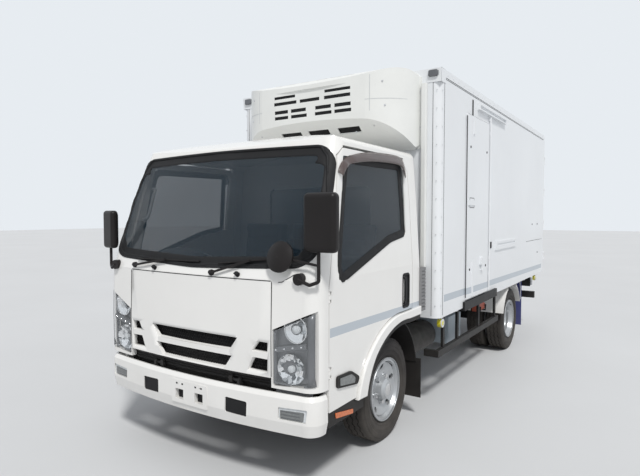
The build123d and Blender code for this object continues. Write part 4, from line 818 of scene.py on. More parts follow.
# %% Headlamps
# middles of the bowls, across and up; a rim's section as distances along and from the axis
UPPER_BOWL, LOWER_BOWL = (0.835, 1.035), (0.80, 0.785)
RIM = ((0.0, 0.080), (0.0, 0.086), (0.012, 0.086), (0.012, 0.080))
LENS = 0.003
HOUSING_DEPTH = 0.055
for side, sign in SIDES:
    bm = lamp_skin(-LENS, sign)
    lens = piece("headlamp_lens_" + side, bm, clear_lens, "cab", replaces=("headlamps",))
    solid(lens, LENS)
    bm = lamp_skin(HOUSING_DEPTH, sign)
    edges = [e for e in bm.edges if e.is_boundary]
    walls = bmesh.ops.extrude_edge_only(bm, edges=edges)
    for v in (g for g in walls["geom"] if isinstance(g, bmesh.types.BMVert)):
        v.co.y -= HOUSING_DEPTH - 0.009
    housing = piece(
        "headlamp_housing_" + side, bm, lamp_grey, "cab", replaces=("headlamps",)
    )
    solid(housing, 0.002)
    upper = on_front(sign * UPPER_BOWL[0], UPPER_BOWL[1], CORNER) + Vector((0, 0.030, 0))
    bm = bmesh.new()
    bowl(bm, upper, 0.082, 0.028)
    add_turned(bm, RIM, upper - Vector((0, 0.004, 0)), (0, 1, 0), 36, hoop=True)
    piece("headlamp_bowl_" + side, bm, chrome, "cab", smooth=25)
    lower = on_front(sign * LOWER_BOWL[0], LOWER_BOWL[1], CORNER) + Vector((0, 0.032, 0))
    bm = bmesh.new()
    bowl(bm, lower, 0.106, 0.026, rings=6, sides=14, squash=0.90)
    # its finish has painted glints in its colour
    piece("headlamp_facets_" + side, bm, glint_painted_chrome, "cab", smooth=0)
    bm = bmesh.new()
    for centre, radius in ((upper, 0.026), (lower, 0.022)):
        profile = ((0.0, 0.0), (0.002, radius * 0.6), (0.008, radius), (0.030, radius))
        add_turned(bm, profile, centre - Vector((0, 0.012, 0)), (0, 1, 0), 24)
    piece("headlamp_bulbs_" + side, bm, white_lens, "cab", smooth=50)
    bm = bmesh.new()
    edge = []
    for k in range(9):
        z = 0.70 + 0.056 * k
        row = [on_front(sign * x, min(z, lamp_top(x)), CORNER, 0.0015) for x in (0.934, 0.953, 0.972)]
        edge.append([bm.verts.new(p) for p in row])
    add_sheet(bm, edge)
    solid(piece("headlamp_edge_" + side, bm, lamp_grey, "cab", smooth=60), 0.0015)
    bm = bmesh.new()
    band = []
    for i in range(8):
        x = sign * (0.71 + 0.030 * i)
        band.append(on_front(x, 0.902 + 0.006 * i, CORNER) + Vector((0, 0.020, 0)))
    add_bar(bm, band, 0.030, 0.030)
    piece("headlamp_band_" + side, bm, lamp_grey, "cab", bevel=0.003)
    dots = [(band[i] - Vector((0, 0.015, 0)), AHEAD) for i in (0, 2, 4, 6)]
    fasteners(
        "headlamp_dots_" + side, dots, "cab", "zinc_steel", chrome, 0.007, 0.005, sides=12, top=0.004
    )

# %% [markdown]
# The panel between the lamps has two rows of slots with slanting ends, whose lips run out to the
# front. A copy of the workshop model's panel is cut again with prisms that are wider at the mouth,
# because the real slots are a little taller than the model's, and a cut keeps the panel's own bow.

# %% The panel's slots
# the centre slots: half width and height at the top, then at the foot; each side slot: its corners
SLOT_LIP = 0.020
CENTRE_SLOTS = (((0.409, 0.937), (0.343, 0.868)), ((0.360, 0.812), (0.298, 0.742)))
SIDE_SLOTS = (
    ((0.578, 0.938), (0.534, 0.880), (0.649, 0.878), (0.652, 0.938)),
    ((0.545, 0.832), (0.502, 0.756), (0.648, 0.752), (0.651, 0.832)),
)


def cutter(bm, corners):
    """Prism through the panel whose mouth is wider at the front by shares of the lip."""
    middle = sum((Vector(c) for c in corners), Vector((0, 0))) / len(corners)
    rings = []
    for y, wider in ((-1.30, 3.0), (-1.115, 1.0), (-1.09, 0.0), (-0.95, 0.0)):
        ring = []
        for x, z in corners:
            lip = SLOT_LIP * wider
            out_x = lip if x > middle.x else -lip
            out_z = lip if z > middle.y else -lip
            ring.append(bm.verts.new(at(x + out_x * 0.35, y, z + out_z * 0.45)))
        rings.append(ring)
    add_shell(bm, rings)


bm = bmesh.new()
for (top, z_top), (foot, z_foot) in CENTRE_SLOTS:
    cutter(bm, ((-top, z_top), (top, z_top), (foot, z_foot), (-foot, z_foot)))
for corners in SIDE_SLOTS:
    cutter(bm, corners)
    cutter(bm, [(-x, z) for x, z in reversed(corners)])
bmesh.ops.recalc_face_normals(bm, faces=bm.faces)
knife_mesh = bpy.data.meshes.new("slot_cutters")
bm.to_mesh(knife_mesh)
bm.free()
knife = bpy.data.objects.new("slot_cutters", knife_mesh)
scene.collection.objects.link(knife)
panel = bpy.data.objects.new("front_panel_skin", nodes["front_panel"].data.copy())
scene.collection.objects.link(panel)
cut = panel.modifiers.new("slots", "BOOLEAN")
cut.operation = "DIFFERENCE"
cut.object = knife
cut.solver = "EXACT"
depsgraph = bpy.context.evaluated_depsgraph_get()
panel_mesh = bpy.data.meshes.new_from_object(panel.evaluated_get(depsgraph))
bpy.data.objects.remove(panel)
bpy.data.objects.remove(knife)
dress(
    "front_panel_skin", panel_mesh, cab_white, "cab", smooth=30, replaces=("front_panel",)
)
print("panel with taller slots:", len(panel_mesh.polygons), "faces")

# %% [markdown]
# Behind the panel's slots there is a black honeycomb, with a black sheet of painted shade behind it,
# and below the panel a dark screen with cross ribs closes the gap above the bumper. The honeycomb is
# one Geometry Nodes tree run on a sheet of points that follows the panel's bow, so that each cell is a real
# ring and not a picture.

# %% The honeycomb behind the slots
BETWEEN_ROWS = 0.858
CELL = 0.013
# half the distance of two cells in a row, and the distance of two rows, in cells
HALF_STEP, ROW_STEP = 0.866, 1.5
# middle, half width, low and high z of the screen behind each slot
SCREENS = (
    (0.0, 0.420, 0.858, 0.950), (0.0, 0.370, 0.728, 0.838), (0.595, 0.066, 0.872, 0.945),
    (-0.595, 0.066, 0.872, 0.945), (0.578, 0.080, 0.746, 0.838), (-0.578, 0.080, 0.746, 0.838),
)


def panel_y(x):
    """Depth of the front panel at x, in the frame, taken between its two rows of slots."""
    return on_front(x, BETWEEN_ROWS, ("front_panel",)).y


SCREEN_BACK = 0.036
points = []
for middle, half, low, high in SCREENS:
    columns = int(half / CELL / HALF_STEP)
    rows = int((high - low) / CELL / ROW_STEP) + 1
    for i in range(-columns, columns + 1):
        for j in range(rows + 1):
            x = middle + i * CELL * 2 * HALF_STEP + (CELL * HALF_STEP if j % 2 else 0)
            if abs(x - middle) <= half:
                points.append((x, panel_y(x) + SCREEN_BACK, low + j * CELL * ROW_STEP))
base = bpy.data.meshes.new("grille_points")
base.from_pydata(points, [], [])
values = {"Cell": CELL, "Bar": 0.0022}
grow("grille_honeycomb", base, screen_tree, values, black_plastic, "cab", smooth=0)
print("honeycomb points:", len(points))

# %% The sheet of painted shade behind the panel and the ribbed screen below it
PANEL_HALF = 0.672
# distance behind the panel and height of each line of a sheet
SHADE_SHEET_ROWS = ((0.046, 0.735), (0.046, 0.8435), (0.046, 0.952))
GAP_RIBS = (
    (0.030, 0.716), (0.034, 0.700), (0.048, 0.690), (0.040, 0.680),
    (0.054, 0.668), (0.046, 0.658), (0.060, 0.644), (0.060, 0.600),
)


def panel_sheet(profile):
    """Sheet that follows the panel's bow, with a profile of distances behind it and heights."""
    bm = bmesh.new()
    xs = [-PANEL_HALF + 2 * PANEL_HALF * i / 24 for i in range(25)]
    add_sheet(bm, [[bm.verts.new((x, panel_y(x) + back, z)) for x in xs] for back, z in profile])
    return bm


# black sheet behind the honeycomb: painted shade for the dark space behind the grille
shade_sheet = piece("grille_shade_sheet", panel_sheet(SHADE_SHEET_ROWS), shade_and_vent_black, "cab")
solid(shade_sheet, 0.003, offset=1.0)
ribs = panel_sheet(GAP_RIBS)
lower_grille = piece("lower_grille", ribs, black_plastic, "chassis", smooth=20)
solid(lower_grille, 0.004, offset=1.0)
print("sheets behind and below the panel made")

# %% [markdown]
# Everything round the glass is drawn as a band beside an outline. The outline is a closed run of points
# with rounded corners; the band runs inwards by the width that it is told, and each of its
# points is dropped on the skin by a ray. A painted edge would be simpler, but rubber stands a
# few millimetres off the skin and throws a line of shadow.

# %% Bands that follow an outline on a curved panel
def rounded(points, radius, steps=6):
    """Closed outline whose corners are rounded by arcs of about a radius."""
    result = []
    count = len(points)
    for i in range(count):
        before, corner, after = (Vector(points[(i + k) % count]) for k in (-1, 0, 1))
        first = (before - corner).normalized()
        second = (after - corner).normalized()
        reach = min(radius, (before - corner).length * 0.45, (after - corner).length * 0.45)
        start = corner + first * reach
        end = corner + second * reach
        for k in range(steps + 1):
            t = k / steps
            result.append((1 - t) ** 2 * start + 2 * t * (1 - t) * corner + t**2 * end)
    return result


def spaced(points, count):
    """Equally spaced points along a closed outline."""
    loop = points + [points[0]]
    lengths = [(b - a).length for a, b in zip(loop, loop[1:])]
    total = sum(lengths)
    result = []
    k = 0
    walked = 0.0
    for i in range(count):
        goal = total * i / count
        while walked + lengths[k] < goal:
            walked += lengths[k]
            k += 1
        result.append(loop[k].lerp(loop[k + 1], (goal - walked) / lengths[k]))
    return result


def band_on(bm, outline, width, drop, count=120, across=3, inner_drop=None):
    """Strip inside a closed outline: width(point) gives its width, drop(u, v) its place on the skin."""
    ring = spaced(outline, count)
    middle = sum(ring, Vector((0, 0))) / count
    strips = []
    for k in range(across + 1):
        strip = []
        for i, p in enumerate(ring):
            ahead = (ring[(i + 1) % count] - ring[i - 1]).normalized()
            inward = Vector((-ahead.y, ahead.x))
            if inward.dot(middle - p) < 0:
                inward = -inward
            q = p + inward * width(p) * k / across
            place = inner_drop if inner_drop and k == across else drop
            strip.append(bm.verts.new(place(q.x, q.y)))
        strips.append(strip)
    for first, second in zip(strips, strips[1:]):
        join_rings(bm, first, second)


print("bands can be drawn")

# %% The windscreen's edge and seal
SCREEN_OUTLINE = (
    (-0.972, 1.56), (-0.957, 1.87), (-0.932, 2.10), (-0.862, 2.184), (0, 2.194),
    (0.862, 2.184), (0.932, 2.10), (0.957, 1.87), (0.972, 1.56), (0.930, 1.455),
    (0.838, 1.412), (0, 1.380), (-0.838, 1.412), (-0.930, 1.455),
)
screen_ring = rounded(SCREEN_OUTLINE, 0.075)


def share_of(value):
    """A value kept between none and all."""
    return max(0.0, min(1.0, value))


def screen_width(p):
    """The dark edge of the windscreen is broad at the foot and narrow at the sides."""
    foot = share_of((1.60 - p.y) / 0.14)
    head = share_of((p.y - 2.05) / 0.1)
    side = share_of((abs(p.x) - 0.85) / 0.05)
    corner = share_of((abs(p.x) - 0.80) / 0.08) * head
    return 0.030 + 0.040 * foot + 0.034 * head + 0.026 * side + 0.030 * corner


def proud_front(x, z):
    """Point well off the front skin, for the band."""
    return on_front(x, z, FRONT, 0.0048)


def close_front(x, z):
    """Point close to the front skin, for the band's inner edge."""
    return on_front(x, z, FRONT, 0.0012)


bm = bmesh.new()
band_on(bm, screen_ring, screen_width, proud_front, count=240, across=10, inner_drop=close_front)
piece("windscreen_edge", bm, seal_black, "cab", smooth=60)
bm = bmesh.new()
seal_path = [on_front(p.x, p.y, FRONT, 0.002) for p in spaced(screen_ring, 160)]
add_bar(bm, seal_path + seal_path[:1], 0.010)
piece("windscreen_seal", bm, seal_black, "cab", smooth=60)
print("windscreen edge and seal made")


# %% The bead along the windscreen's glass
def glass_shows(x, z):
    """True where the windscreen lies in front of the cab's skin."""
    start, aim = at(x, -FAR_OFF, z), Vector((0, 1, 0))
    glass = surface(("cab_glass",)).ray_cast(start, aim)[0]
    skin = surface(("cab_front",)).ray_cast(start, aim)[0]
    return bool(glass) and (skin is None or glass.y < skin.y)


bm = bmesh.new()
bead = []
screen_middle = Vector((0, 1.79))
SEARCH_STEP = 0.004
for p in spaced(screen_ring, 160):
    for step in range(45):
        q = p + (screen_middle - p).normalized() * SEARCH_STEP * step
        if glass_shows(q.x, q.y):
            out = q + (p - q).normalized() * 0.003 if step else q
            on_rim = on_front(out.x, out.y, FRONT, 0.001)
            bead.append((on_rim + on_front(q.x, q.y, FRONT, 0.001)) / 2)
            break
add_bar(bm, bead + bead[:1], 0.022, sides=10)
piece("windscreen_bead", bm, seal_black, "cab", smooth=60)
print("bead points:", len(bead))

# %% [markdown]
# The wipers rest along the foot of the windscreen. An arm comes off a pivot in the scuttle and
# reaches to the middle of its blade; the blade is a spine with a rubber lip lying on the glass. Two
# washer nozzles sit on the scuttle, and dark seams run round the panel and up to the pillar. All
# of them are bars along a path, because a path on the skin takes few numbers.

# %% Wipers
# pivot x and z, blade's inner end, blade's tip
WIPERS = (
    ((-0.634, 1.360), (-0.600, 1.408), (0.060, 1.418)),
    ((0.191, 1.352), (0.235, 1.412), (0.775, 1.470)),
)
PIVOT_CAP = ((-0.004, 0.021), (0.012, 0.021), (0.018, 0.016), (0.026, 0.014), (0.028, 0.0))
for number, (pivot, start, tip) in enumerate(WIPERS):
    bm = bmesh.new()
    foot = on_front(*pivot, FRONT)
    add_turned(bm, PIVOT_CAP, foot, (0, -1, 0.35), 20)
    blade = []
    for k in range(9):
        t = k / 8
        x, z = (a + (b - a) * t for a, b in zip(start, tip))
        blade.append(on_front(x, z, FRONT, 0.012))
    middle = blade[4] + Vector((0, -0.022, 0.004))
    knee = foot.lerp(middle, 0.28) + Vector((0, -0.020, 0.0))
    add_bar(bm, smooth_path([foot + Vector((0, -0.022, 0)), knee, middle], 12), 0.016, 0.008, up=AHEAD)
    add_bar(bm, [p + Vector((0, -0.006, 0)) for p in blade], 0.009, 0.007, up=AHEAD)
    add_bar(bm, blade, 0.005, 0.014, up=AHEAD)
    for first in (0, 3, 6):
        claw = [blade[first + k] - Vector((0, off, 0)) for k, off in enumerate((0.004, 0.015, 0.004))]
        add_bar(bm, claw, 0.007, 0.004, up=AHEAD)
    piece(f"wiper_{number + 1}", bm, mirror_case, "cab", bevel=0.001)

print("wipers:", len(WIPERS))

# %% Washer nozzles
NOZZLE = (
    (-0.004, 0.016), (0.003, 0.016), (0.006, 0.007), (0.016, 0.007),
    (0.017, 0.016), (0.027, 0.013), (0.031, 0.0),
)
for number, x in enumerate((-0.388, 0.414)):
    bm = bmesh.new()
    foot = on_front(x, 1.352, FRONT)
    add_turned(bm, NOZZLE, foot, (0, -0.85, 0.5), 18)
    add_bar(bm, [foot + Vector((0, -0.012, 0.008)), foot + Vector((-0.020, -0.020, 0.010))], 0.009)
    piece(f"washer_nozzle_{number + 1}", bm, seal_black, "cab")

print("washer nozzles made")

# %% Seams round the panel
PILLAR_SEAM = ((0.680, 1.324), (0.730, 1.322), (0.757, 1.326), (0.80, 1.352), (0.835, 1.374))
TOP_SEAM = [(-PANEL_HALF + 2 * PANEL_HALF * k / 16, 1.318) for k in range(17)]


def front_seam(bm, places, width, shift=(0, 0, 0)):
    """Thin dark bar along places on the front skin, all shifted by the same little way."""
    path = [on_front(x, z, FRONT, 0.0006) + Vector(shift) for x, z in places]
    add_bar(bm, path, width, 0.002, up=AHEAD)


bm = bmesh.new()
front_seam(bm, PILLAR_SEAM, 0.005)
front_seam(bm, TOP_SEAM, 0.006, (0, 0.001, 0.0085))
for sign in (-1, 1):
    side_seam = [(sign * 0.670, 0.73 + 0.59 * k / 8) for k in range(9)]
    front_seam(bm, side_seam, 0.005, (sign * 0.0095, 0.001, 0))
piece("panel_seams", bm, seal_black, "cab", smooth=30)
print("seams made")

# %% [markdown]
# Each cab door has a black rubber edge round its glass, a smoked rain visor over it, a black handle
# cup, a lamp in an arrow-shaped black case low down in front of the arch, and an amber
# reflector below. They are drawn once in side view (y, z) and made for both doors, because rays
# put each one on its own skin, and mirroring would need the two doors to be exactly alike.

# %% Outlines of the door trims
WINDOW_OUTLINE = (
    (-0.786, 1.30), (-0.821, 1.39), (-0.809, 1.485), (-0.715, 1.89), (-0.655, 2.085), (-0.600, 2.130),
    (0.178, 2.140), (0.216, 2.100), (0.220, 1.572), (-0.052, 1.534),
)
VISOR_TOP = (
    (-0.752, 2.010), (-0.725, 2.055), (-0.680, 2.092), (-0.578, 2.133), (-0.335, 2.178),
    (-0.07, 2.196), (0.16, 2.198), (0.245, 2.176), (0.285, 2.130), (0.298, 2.050),
)
VISOR_FOOT = (
    (-0.722, 1.985), (-0.692, 2.025), (-0.650, 2.056), (-0.560, 2.082), (-0.355, 2.110),
    (-0.10, 2.124), (0.12, 2.126), (0.190, 2.110), (0.222, 2.082), (0.232, 2.030),
)
LAMP_CASE = ((-0.850, 0.722), (-0.668, 0.716), (-0.556, 0.650), (-0.582, 0.606), (-0.850, 0.646))
LAMP_LENS = ((-0.818, 0.704), (-0.676, 0.696), (-0.626, 0.664), (-0.632, 0.628), (-0.818, 0.656))
REFLECTOR = ((-0.846, 0.486), (-0.622, 0.446), (-0.622, 0.416), (-0.840, 0.450))
HANDLE_CUP = ((0.146, 1.002), (0.276, 1.002), (0.276, 1.278), (0.146, 1.278))
CUP_MIDDLE = Vector((0.211, 1.14))
# distance from the truck's middle and share of the outline, for each ring of the cup
CUP_RINGS = ((0.988, 1.0), (1.004, 1.0), (1.006, 0.97), (1.006, 0.90), (0.995, 0.86))
# x and z of the handle's pull
PULL_Y = 0.186
PULL = ((0.996, 1.036), (1.008, 1.052), (1.012, 1.14), (1.008, 1.228), (0.996, 1.244))
WINDOW_SEAL = 0.054
NEARBY = ((0, 0), (1, 0), (-1, 0), (0, 1), (0, -1))


print("window outline:", len(WINDOW_OUTLINE), "corners")


# %% Plates on the side and proud seals
def plate_on_side(bm, outline, names, sign, lift, thickness, steps=4):
    """Thin rounded plate that lies on the side skin, with its outline given in (y, z)."""
    ring = [Vector(p) for p in outline]
    middle = sum(ring, Vector((0, 0))) / len(ring)
    loops = []
    for k in range(steps + 1):
        share = 1 - k / (steps + 0.5)
        points = scaled(ring, middle, share)
        loops.append([bm.verts.new(on_side(p.x, p.y, names, lift + thickness, sign)) for p in points])
    base = [bm.verts.new(on_side(p.x, p.y, names, lift, sign)) for p in ring]
    add_shell(bm, [base, *loops])


def proud_side(y, z, names, sign, reach=0.022):
    """Point at y and z, level with the proudest skin within reach, so that a seal bridges a step."""
    spots = [on_side(y + a * reach, z + b * reach, names, 0.0018, sign) for a, b in NEARBY]
    best = max(spots, key=lambda p: abs(p.x))
    return Vector((best.x, spots[0].y, spots[0].z))


print("left door's skin at y 0, z 1.2:", round(proud_side(0.0, 1.2, ("door_left",), 1).x, 3))

# %% Door glass edges, visors, handles and side lamps
for side, sign in SIDES:
    door = "door_" + side
    skin = (door, door + "_glass")
    lamp_skin_nodes = (door, "cab_front")

    def outer(y, z):
        """Place of the seal on the frame round the glass."""
        return proud_side(y, z, skin, sign)

    def inner(y, z):
        """Place of the seal's edge on the glass."""
        return on_side(y, z, skin, 0.0015, sign)

    bm = bmesh.new()
    window = rounded(WINDOW_OUTLINE, 0.045, 4)
    band_on(bm, window, lambda p: WINDOW_SEAL, outer, count=200, across=6, inner_drop=inner)
    add_bar(bm, [inner(p.x, p.y) for p in spaced(window, 110)], 0.008)
    piece("window_edge_" + side, bm, seal_black, door, smooth=60)
    top = smooth_path([(0, y, z) for y, z in VISOR_TOP], 36)
    foot = smooth_path([(0, y, z) for y, z in VISOR_FOOT], 36)
    bm = bmesh.new()
    rows = []
    for k in range(5):
        t = k / 4
        row = []
        for a, b in zip(top, foot):
            edge = on_side(a.y, a.z, skin + ("cab_front", "cab_roof", "cab_back"), 0.0, sign)
            bulge = 0.005 + 0.020 * sin(t * pi / 2) + 0.006 * t
            y, z = a.y + (b.y - a.y) * t, a.z + (b.z - a.z) * t
            row.append(bm.verts.new(at(edge.x + sign * bulge, y, z)))
        rows.append(row)
    add_sheet(bm, rows)
    solid(piece("rain_visor_" + side, bm, visor_smoke, door, smooth=60), 0.003)
    bm = bmesh.new()
    plate_on_side(bm, rounded(LAMP_CASE, 0.022, 4), lamp_skin_nodes, sign, 0.0005, 0.012)
    piece("side_lamp_case_" + side, bm, black_plastic, door, bevel=0.002)
    bm = bmesh.new()
    plate_on_side(bm, rounded(LAMP_LENS, 0.010, 3), lamp_skin_nodes, sign, 0.010, 0.007)
    piece("side_lamp_lens_" + side, bm, smoke_lens, door, bevel=0.001)
    bm = bmesh.new()
    cup = rounded(HANDLE_CUP, 0.034, 5)
    rings = []
    for x, share in CUP_RINGS:
        points = scaled(cup, CUP_MIDDLE, share)
        rings.append([bm.verts.new(at(sign * x, p.x, p.y)) for p in points])
    add_shell(bm, rings)
    pull = [at(sign * x, PULL_Y, z) for x, z in PULL]
    add_bar(bm, smooth_path(pull, 14), 0.026, 0.012, up=(sign, 0, 0))
    piece("door_handle_cup_" + side, bm, seal_black, door, bevel=0.002)
    bm = bmesh.new()
    plate_on_side(bm, rounded(REFLECTOR, 0.008, 3), ("cab_floor",), sign, 0.0005, 0.005)
    piece("sill_reflector_" + side, bm, amber_lens, "cab", bevel=0.001)
print("door trims made")

# %% [markdown]
# The mirrors' cases come from the workshop model. Each head gets its glass on the side that the
# driver sees, a little smaller than the case so that a black frame stays, and the round one under the
# left head gets a domed glass, turned like its shell.

# %% Mirror glasses
ROUND_GLASS = ((0.0071, 0.088), (0.010, 0.086), (0.014, 0.06), (0.016, 0.03), (0.0165, 0.0))


def head_glass(name, centre, wide, tall, turn):
    """Flat rounded mirror glass on the rear face of a head."""
    outline = rounded(((-wide, -tall), (wide, -tall), (wide, tall), (-wide, tall)), 0.025, 5)
    place = Matrix.Translation(at(*centre)) @ Matrix.Rotation(radians(turn), 4, "Z")
    bm = bmesh.new()
    front = [bm.verts.new(place @ Vector((p.x, 0.0, p.y))) for p in outline]
    back = [bm.verts.new(place @ Vector((p.x * 0.985, 0.003, p.y * 0.99))) for p in outline]
    add_shell(bm, (front, back))
    piece(name, bm, mirror_glass, "cab")


head_glass("mirror_glass_left", (1.023, -1.0118, 1.6915), 0.092, 0.156, 0)
RIGHT_TURN = -12
back = Matrix.Rotation(radians(RIGHT_TURN), 3, "Z") @ Vector((0, 0.0302, 0))
head_glass("mirror_glass_right", (-0.980 + back.x, -1.052 + back.y, 1.623), 0.066, 0.129, RIGHT_TURN)
bm = bmesh.new()
round_axis = Matrix.Rotation(radians(76), 3, "X") @ Vector((0, 0, -1))
add_turned(bm, ROUND_GLASS, at(0.752, -1.096, 1.481), round_axis, 40)
piece("round_mirror_glass", bm, mirror_glass, "cab", smooth=60)
print("mirror glasses made")

# %% [markdown]
# Tyres of a light truck have a ribbed tread with zigzag grooves, cut shoulders and ribs on
# the side wall. The ring is drawn as one grid round the wheel: each column is a point of the
# section, and the columns of the grooves swing to and fro with the angle. No words are on them. An
# array of tread blocks would need many more faces and leave seams between the blocks.

# %% A tyre's section
TYRE_R, TYRE_HALF, TREAD_HALF, BEAD_HALF = 0.392, 0.106, 0.088, 0.079
BEAD_R, SEAT_R = 0.243, 0.2245
TYRE_STEPS = 144
GROOVES = (-0.046, 0.0, 0.046)
GROOVE_DEPTH = 0.010
ZIGZAG = 0.0055

# share of the side wall's arc and how far it stands out there
WALL_RIBS = (
    (0.03, 0), (0.10, 0), (0.12, -0.003), (0.20, -0.003), (0.22, 0), (0.40, 0), (0.43, -0.0018),
    (0.46, 0), (0.60, 0), (0.62, -0.0022), (0.78, -0.0022), (0.80, 0), (0.97, 0),
)
TREAD_EDGE = (TREAD_HALF, TYRE_R)
WALL_OUT = (TYRE_HALF, (TYRE_R + BEAD_R) / 2 + 0.008)
BEAD = (BEAD_HALF, BEAD_R)
# distance from a groove's middle and depth
GROOVE_SECTION = ((-0.006, 0), (-0.004, GROOVE_DEPTH), (0.004, GROOVE_DEPTH), (0.006, 0))

rubber = finish(
    "tyre_rubber", (0.020, 0.018, 0.018), 0.66, tone=0.25, tone_scale=9,
    grain=0.0008, grain_scale=260, dust=0.30, dust_top=0.8
)


def circle_through(a, b, c, share):
    """Point at a share of the arc from a through b to c, in a plane."""
    a, b, c = Vector(a), Vector(b), Vector(c)
    d = 2 * (a.x * (b.y - c.y) + b.x * (c.y - a.y) + c.x * (a.y - b.y))
    aa, bb, cc = a.length_squared, b.length_squared, c.length_squared
    centre_x = (aa * (b.y - c.y) + bb * (c.y - a.y) + cc * (a.y - b.y)) / d
    centre_y = (aa * (c.x - b.x) + bb * (a.x - c.x) + cc * (b.x - a.x)) / d
    centre = Vector((centre_x, centre_y))
    first = atan2(a.y - centre_y, a.x - centre_x)
    last = atan2(c.y - centre_y, c.x - centre_x)
    turn = first + (last - first) * share
    return centre + Vector((cos(turn), sin(turn))) * (a - centre).length


def tyre_section(step):
    """Section of the tyre at one step round it: (across, radius) pairs from seat to seat."""
    swing = ZIGZAG * (1 if step % 4 in (0, 1) else -1)
    notch = 0.006 if step % 4 == 0 else 0.0
    half = [(TREAD_HALF - 0.006, TYRE_R), (TREAD_HALF - notch / 2, TYRE_R - 0.002 - notch)]
    for share, rib in WALL_RIBS:
        p = circle_through(TREAD_EDGE, WALL_OUT, BEAD, share)
        half.append((p.x + rib - (notch if share < 0.1 else 0.0), p.y))
    half += [BEAD, (BEAD_HALF - 0.001, SEAT_R)]
    ring = [(-x, r) for x, r in reversed(half)]
    for centre in GROOVES:
        ring += [(centre + offset + swing, TYRE_R - depth) for offset, depth in GROOVE_SECTION]
    return ring + half


def add_tyre(bm, x, y):
    """Tyre round a wheel whose middle is at x and y."""
    rings = []
    for step in range(TYRE_STEPS):
        turn = 2 * pi * step / TYRE_STEPS
        places = [at(x + a, y + r * sin(turn), AXLE_Z - r * cos(turn)) for a, r in tyre_section(step)]
        rings.append([bm.verts.new(p) for p in places])
    for first, second in zip(rings, rings[1:] + rings[:1]):
        join_rings(bm, first, second)


print("points in a section:", len(tyre_section(0)))

# %% Tyres on the wheels
# end of the truck, distance behind the front axle, and which tyres of a pair are there
ENDS = (("front", 0.0, (0,)), ("rear", WHEELBASE, (-1, 1)))
WHEELS = [(end, side, sign, y, pair) for side, sign in SIDES for end, y, pair in ENDS]
for end, side, sign, y, pair in WHEELS:
    body = f"{end}_wheel_{side}"
    low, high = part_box(f"{end}_tyre_{side}")
    middle = (low.x + high.x) / 2
    spread = (high.x - low.x) / 2 - TYRE_HALF
    bm = bmesh.new()
    for place in pair:
        add_tyre(bm, middle + place * spread, y)
    covered = (f"{end}_tyre_{side}",)
    piece(f"{end}_tyre_tread_{side}", bm, rubber, body, smooth=28, replaces=covered)
print("tyres:", len(WHEELS))

# %% [markdown]
# The wheels' discs are in the workshop model. Here come the five nuts with their washers, the
# polished hub cap with its dark ring, a valve, and a bright lip on the rim. Whatever is round is
# turned from a profile, because that keeps it true to the wheel's axis.

# %% Wheel nuts, hub caps, rim lips and valves
STUDS = 5
STUD_RING = 0.104
# for each end of the truck, seat of the nuts and face of the hub, from the wheel's middle
FACES = {"front": (0.046, 0.112), "rear": (0.024, 0.150)}
HUB_CAP = (
    (0.0, 0.060), (0.016, 0.0590), (0.028, 0.0540), (0.034, 0.0450),
    (0.0365, 0.032), (0.0375, 0.016), (0.038, 0.0),
)
HUB_RING = ((-0.006, 0.060), (-0.006, 0.078), (0.012, 0.078), (0.014, 0.066), (0.010, 0.0595))
RIM_LIP = ((-0.004, 0.2405), (0.0, 0.2420), (0.004, 0.2395), (0.003, 0.236), (-0.004, 0.2355))
VALVE = ((0, 0, 0), (0.016, -0.004, -0.006), (0.024, -0.010, -0.014))
NUT_HEIGHT, WASHER_HEIGHT = 0.023, 0.006
for end, side, sign, y, pair in WHEELS:
    body = f"{end}_wheel_{side}"
    low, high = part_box(f"{end}_tyre_{side}")
    middle = (low.x + high.x) / 2
    seat, face = FACES[end]
    out = Vector((sign, 0, 0))
    nuts = []
    for k in range(STUDS):
        turn = 2 * pi * (k + 0.5) / STUDS
        swing, rise = -sign * STUD_RING * sin(turn), STUD_RING * cos(turn)
        nuts.append((at(middle + sign * seat, y + swing, AXLE_Z + rise), out))
    fasteners(
        f"{end}_nut_washers_{side}", nuts, body, "zinc_steel", zinc_steel, 0.021, WASHER_HEIGHT, sides=24
    )
    fasteners(
        f"{end}_nuts_{side}", nuts, body, "zinc_steel", bright_steel, 0.0195, NUT_HEIGHT, top=0.0175
    )
    bm = bmesh.new()
    hub = at(middle + sign * (face - 0.034), y, AXLE_Z)
    add_turned(bm, HUB_CAP, hub, out, 40)
    piece(f"{end}_hub_cap_{side}", bm, bright_steel, body, smooth=50)
    bm = bmesh.new()
    add_turned(bm, HUB_RING, hub, out, 40, hoop=True)
    piece(f"{end}_hub_ring_{side}", bm, seal_black, body, smooth=40)
    bm = bmesh.new()
    rim_x = high.x - 0.012 if sign > 0 else low.x + 0.012
    add_turned(bm, RIM_LIP, at(rim_x, y, AXLE_Z), out, 64, hoop=True)
    piece(f"{end}_rim_lip_{side}", bm, wheel_silver, body, smooth=50)
    bm = bmesh.new()
    root = at(rim_x - sign * 0.020, y + 0.105, AXLE_Z + 0.172)
    add_bar(bm, [root + Vector((sign * a, b, c)) for a, b, c in VALVE], 0.008, sides=10)
    piece(f"{end}_valve_{side}", bm, seal_black, body)
print("wheel details made")

# %% [markdown]
# The seats are padded: each cushion and each back is a closed form that swells under pressure
# between its edges. Cloth simulation does the swelling in one run for all six, with the travel
# of each point capped. Sewn channels are pressed in afterwards along lines across each pad.

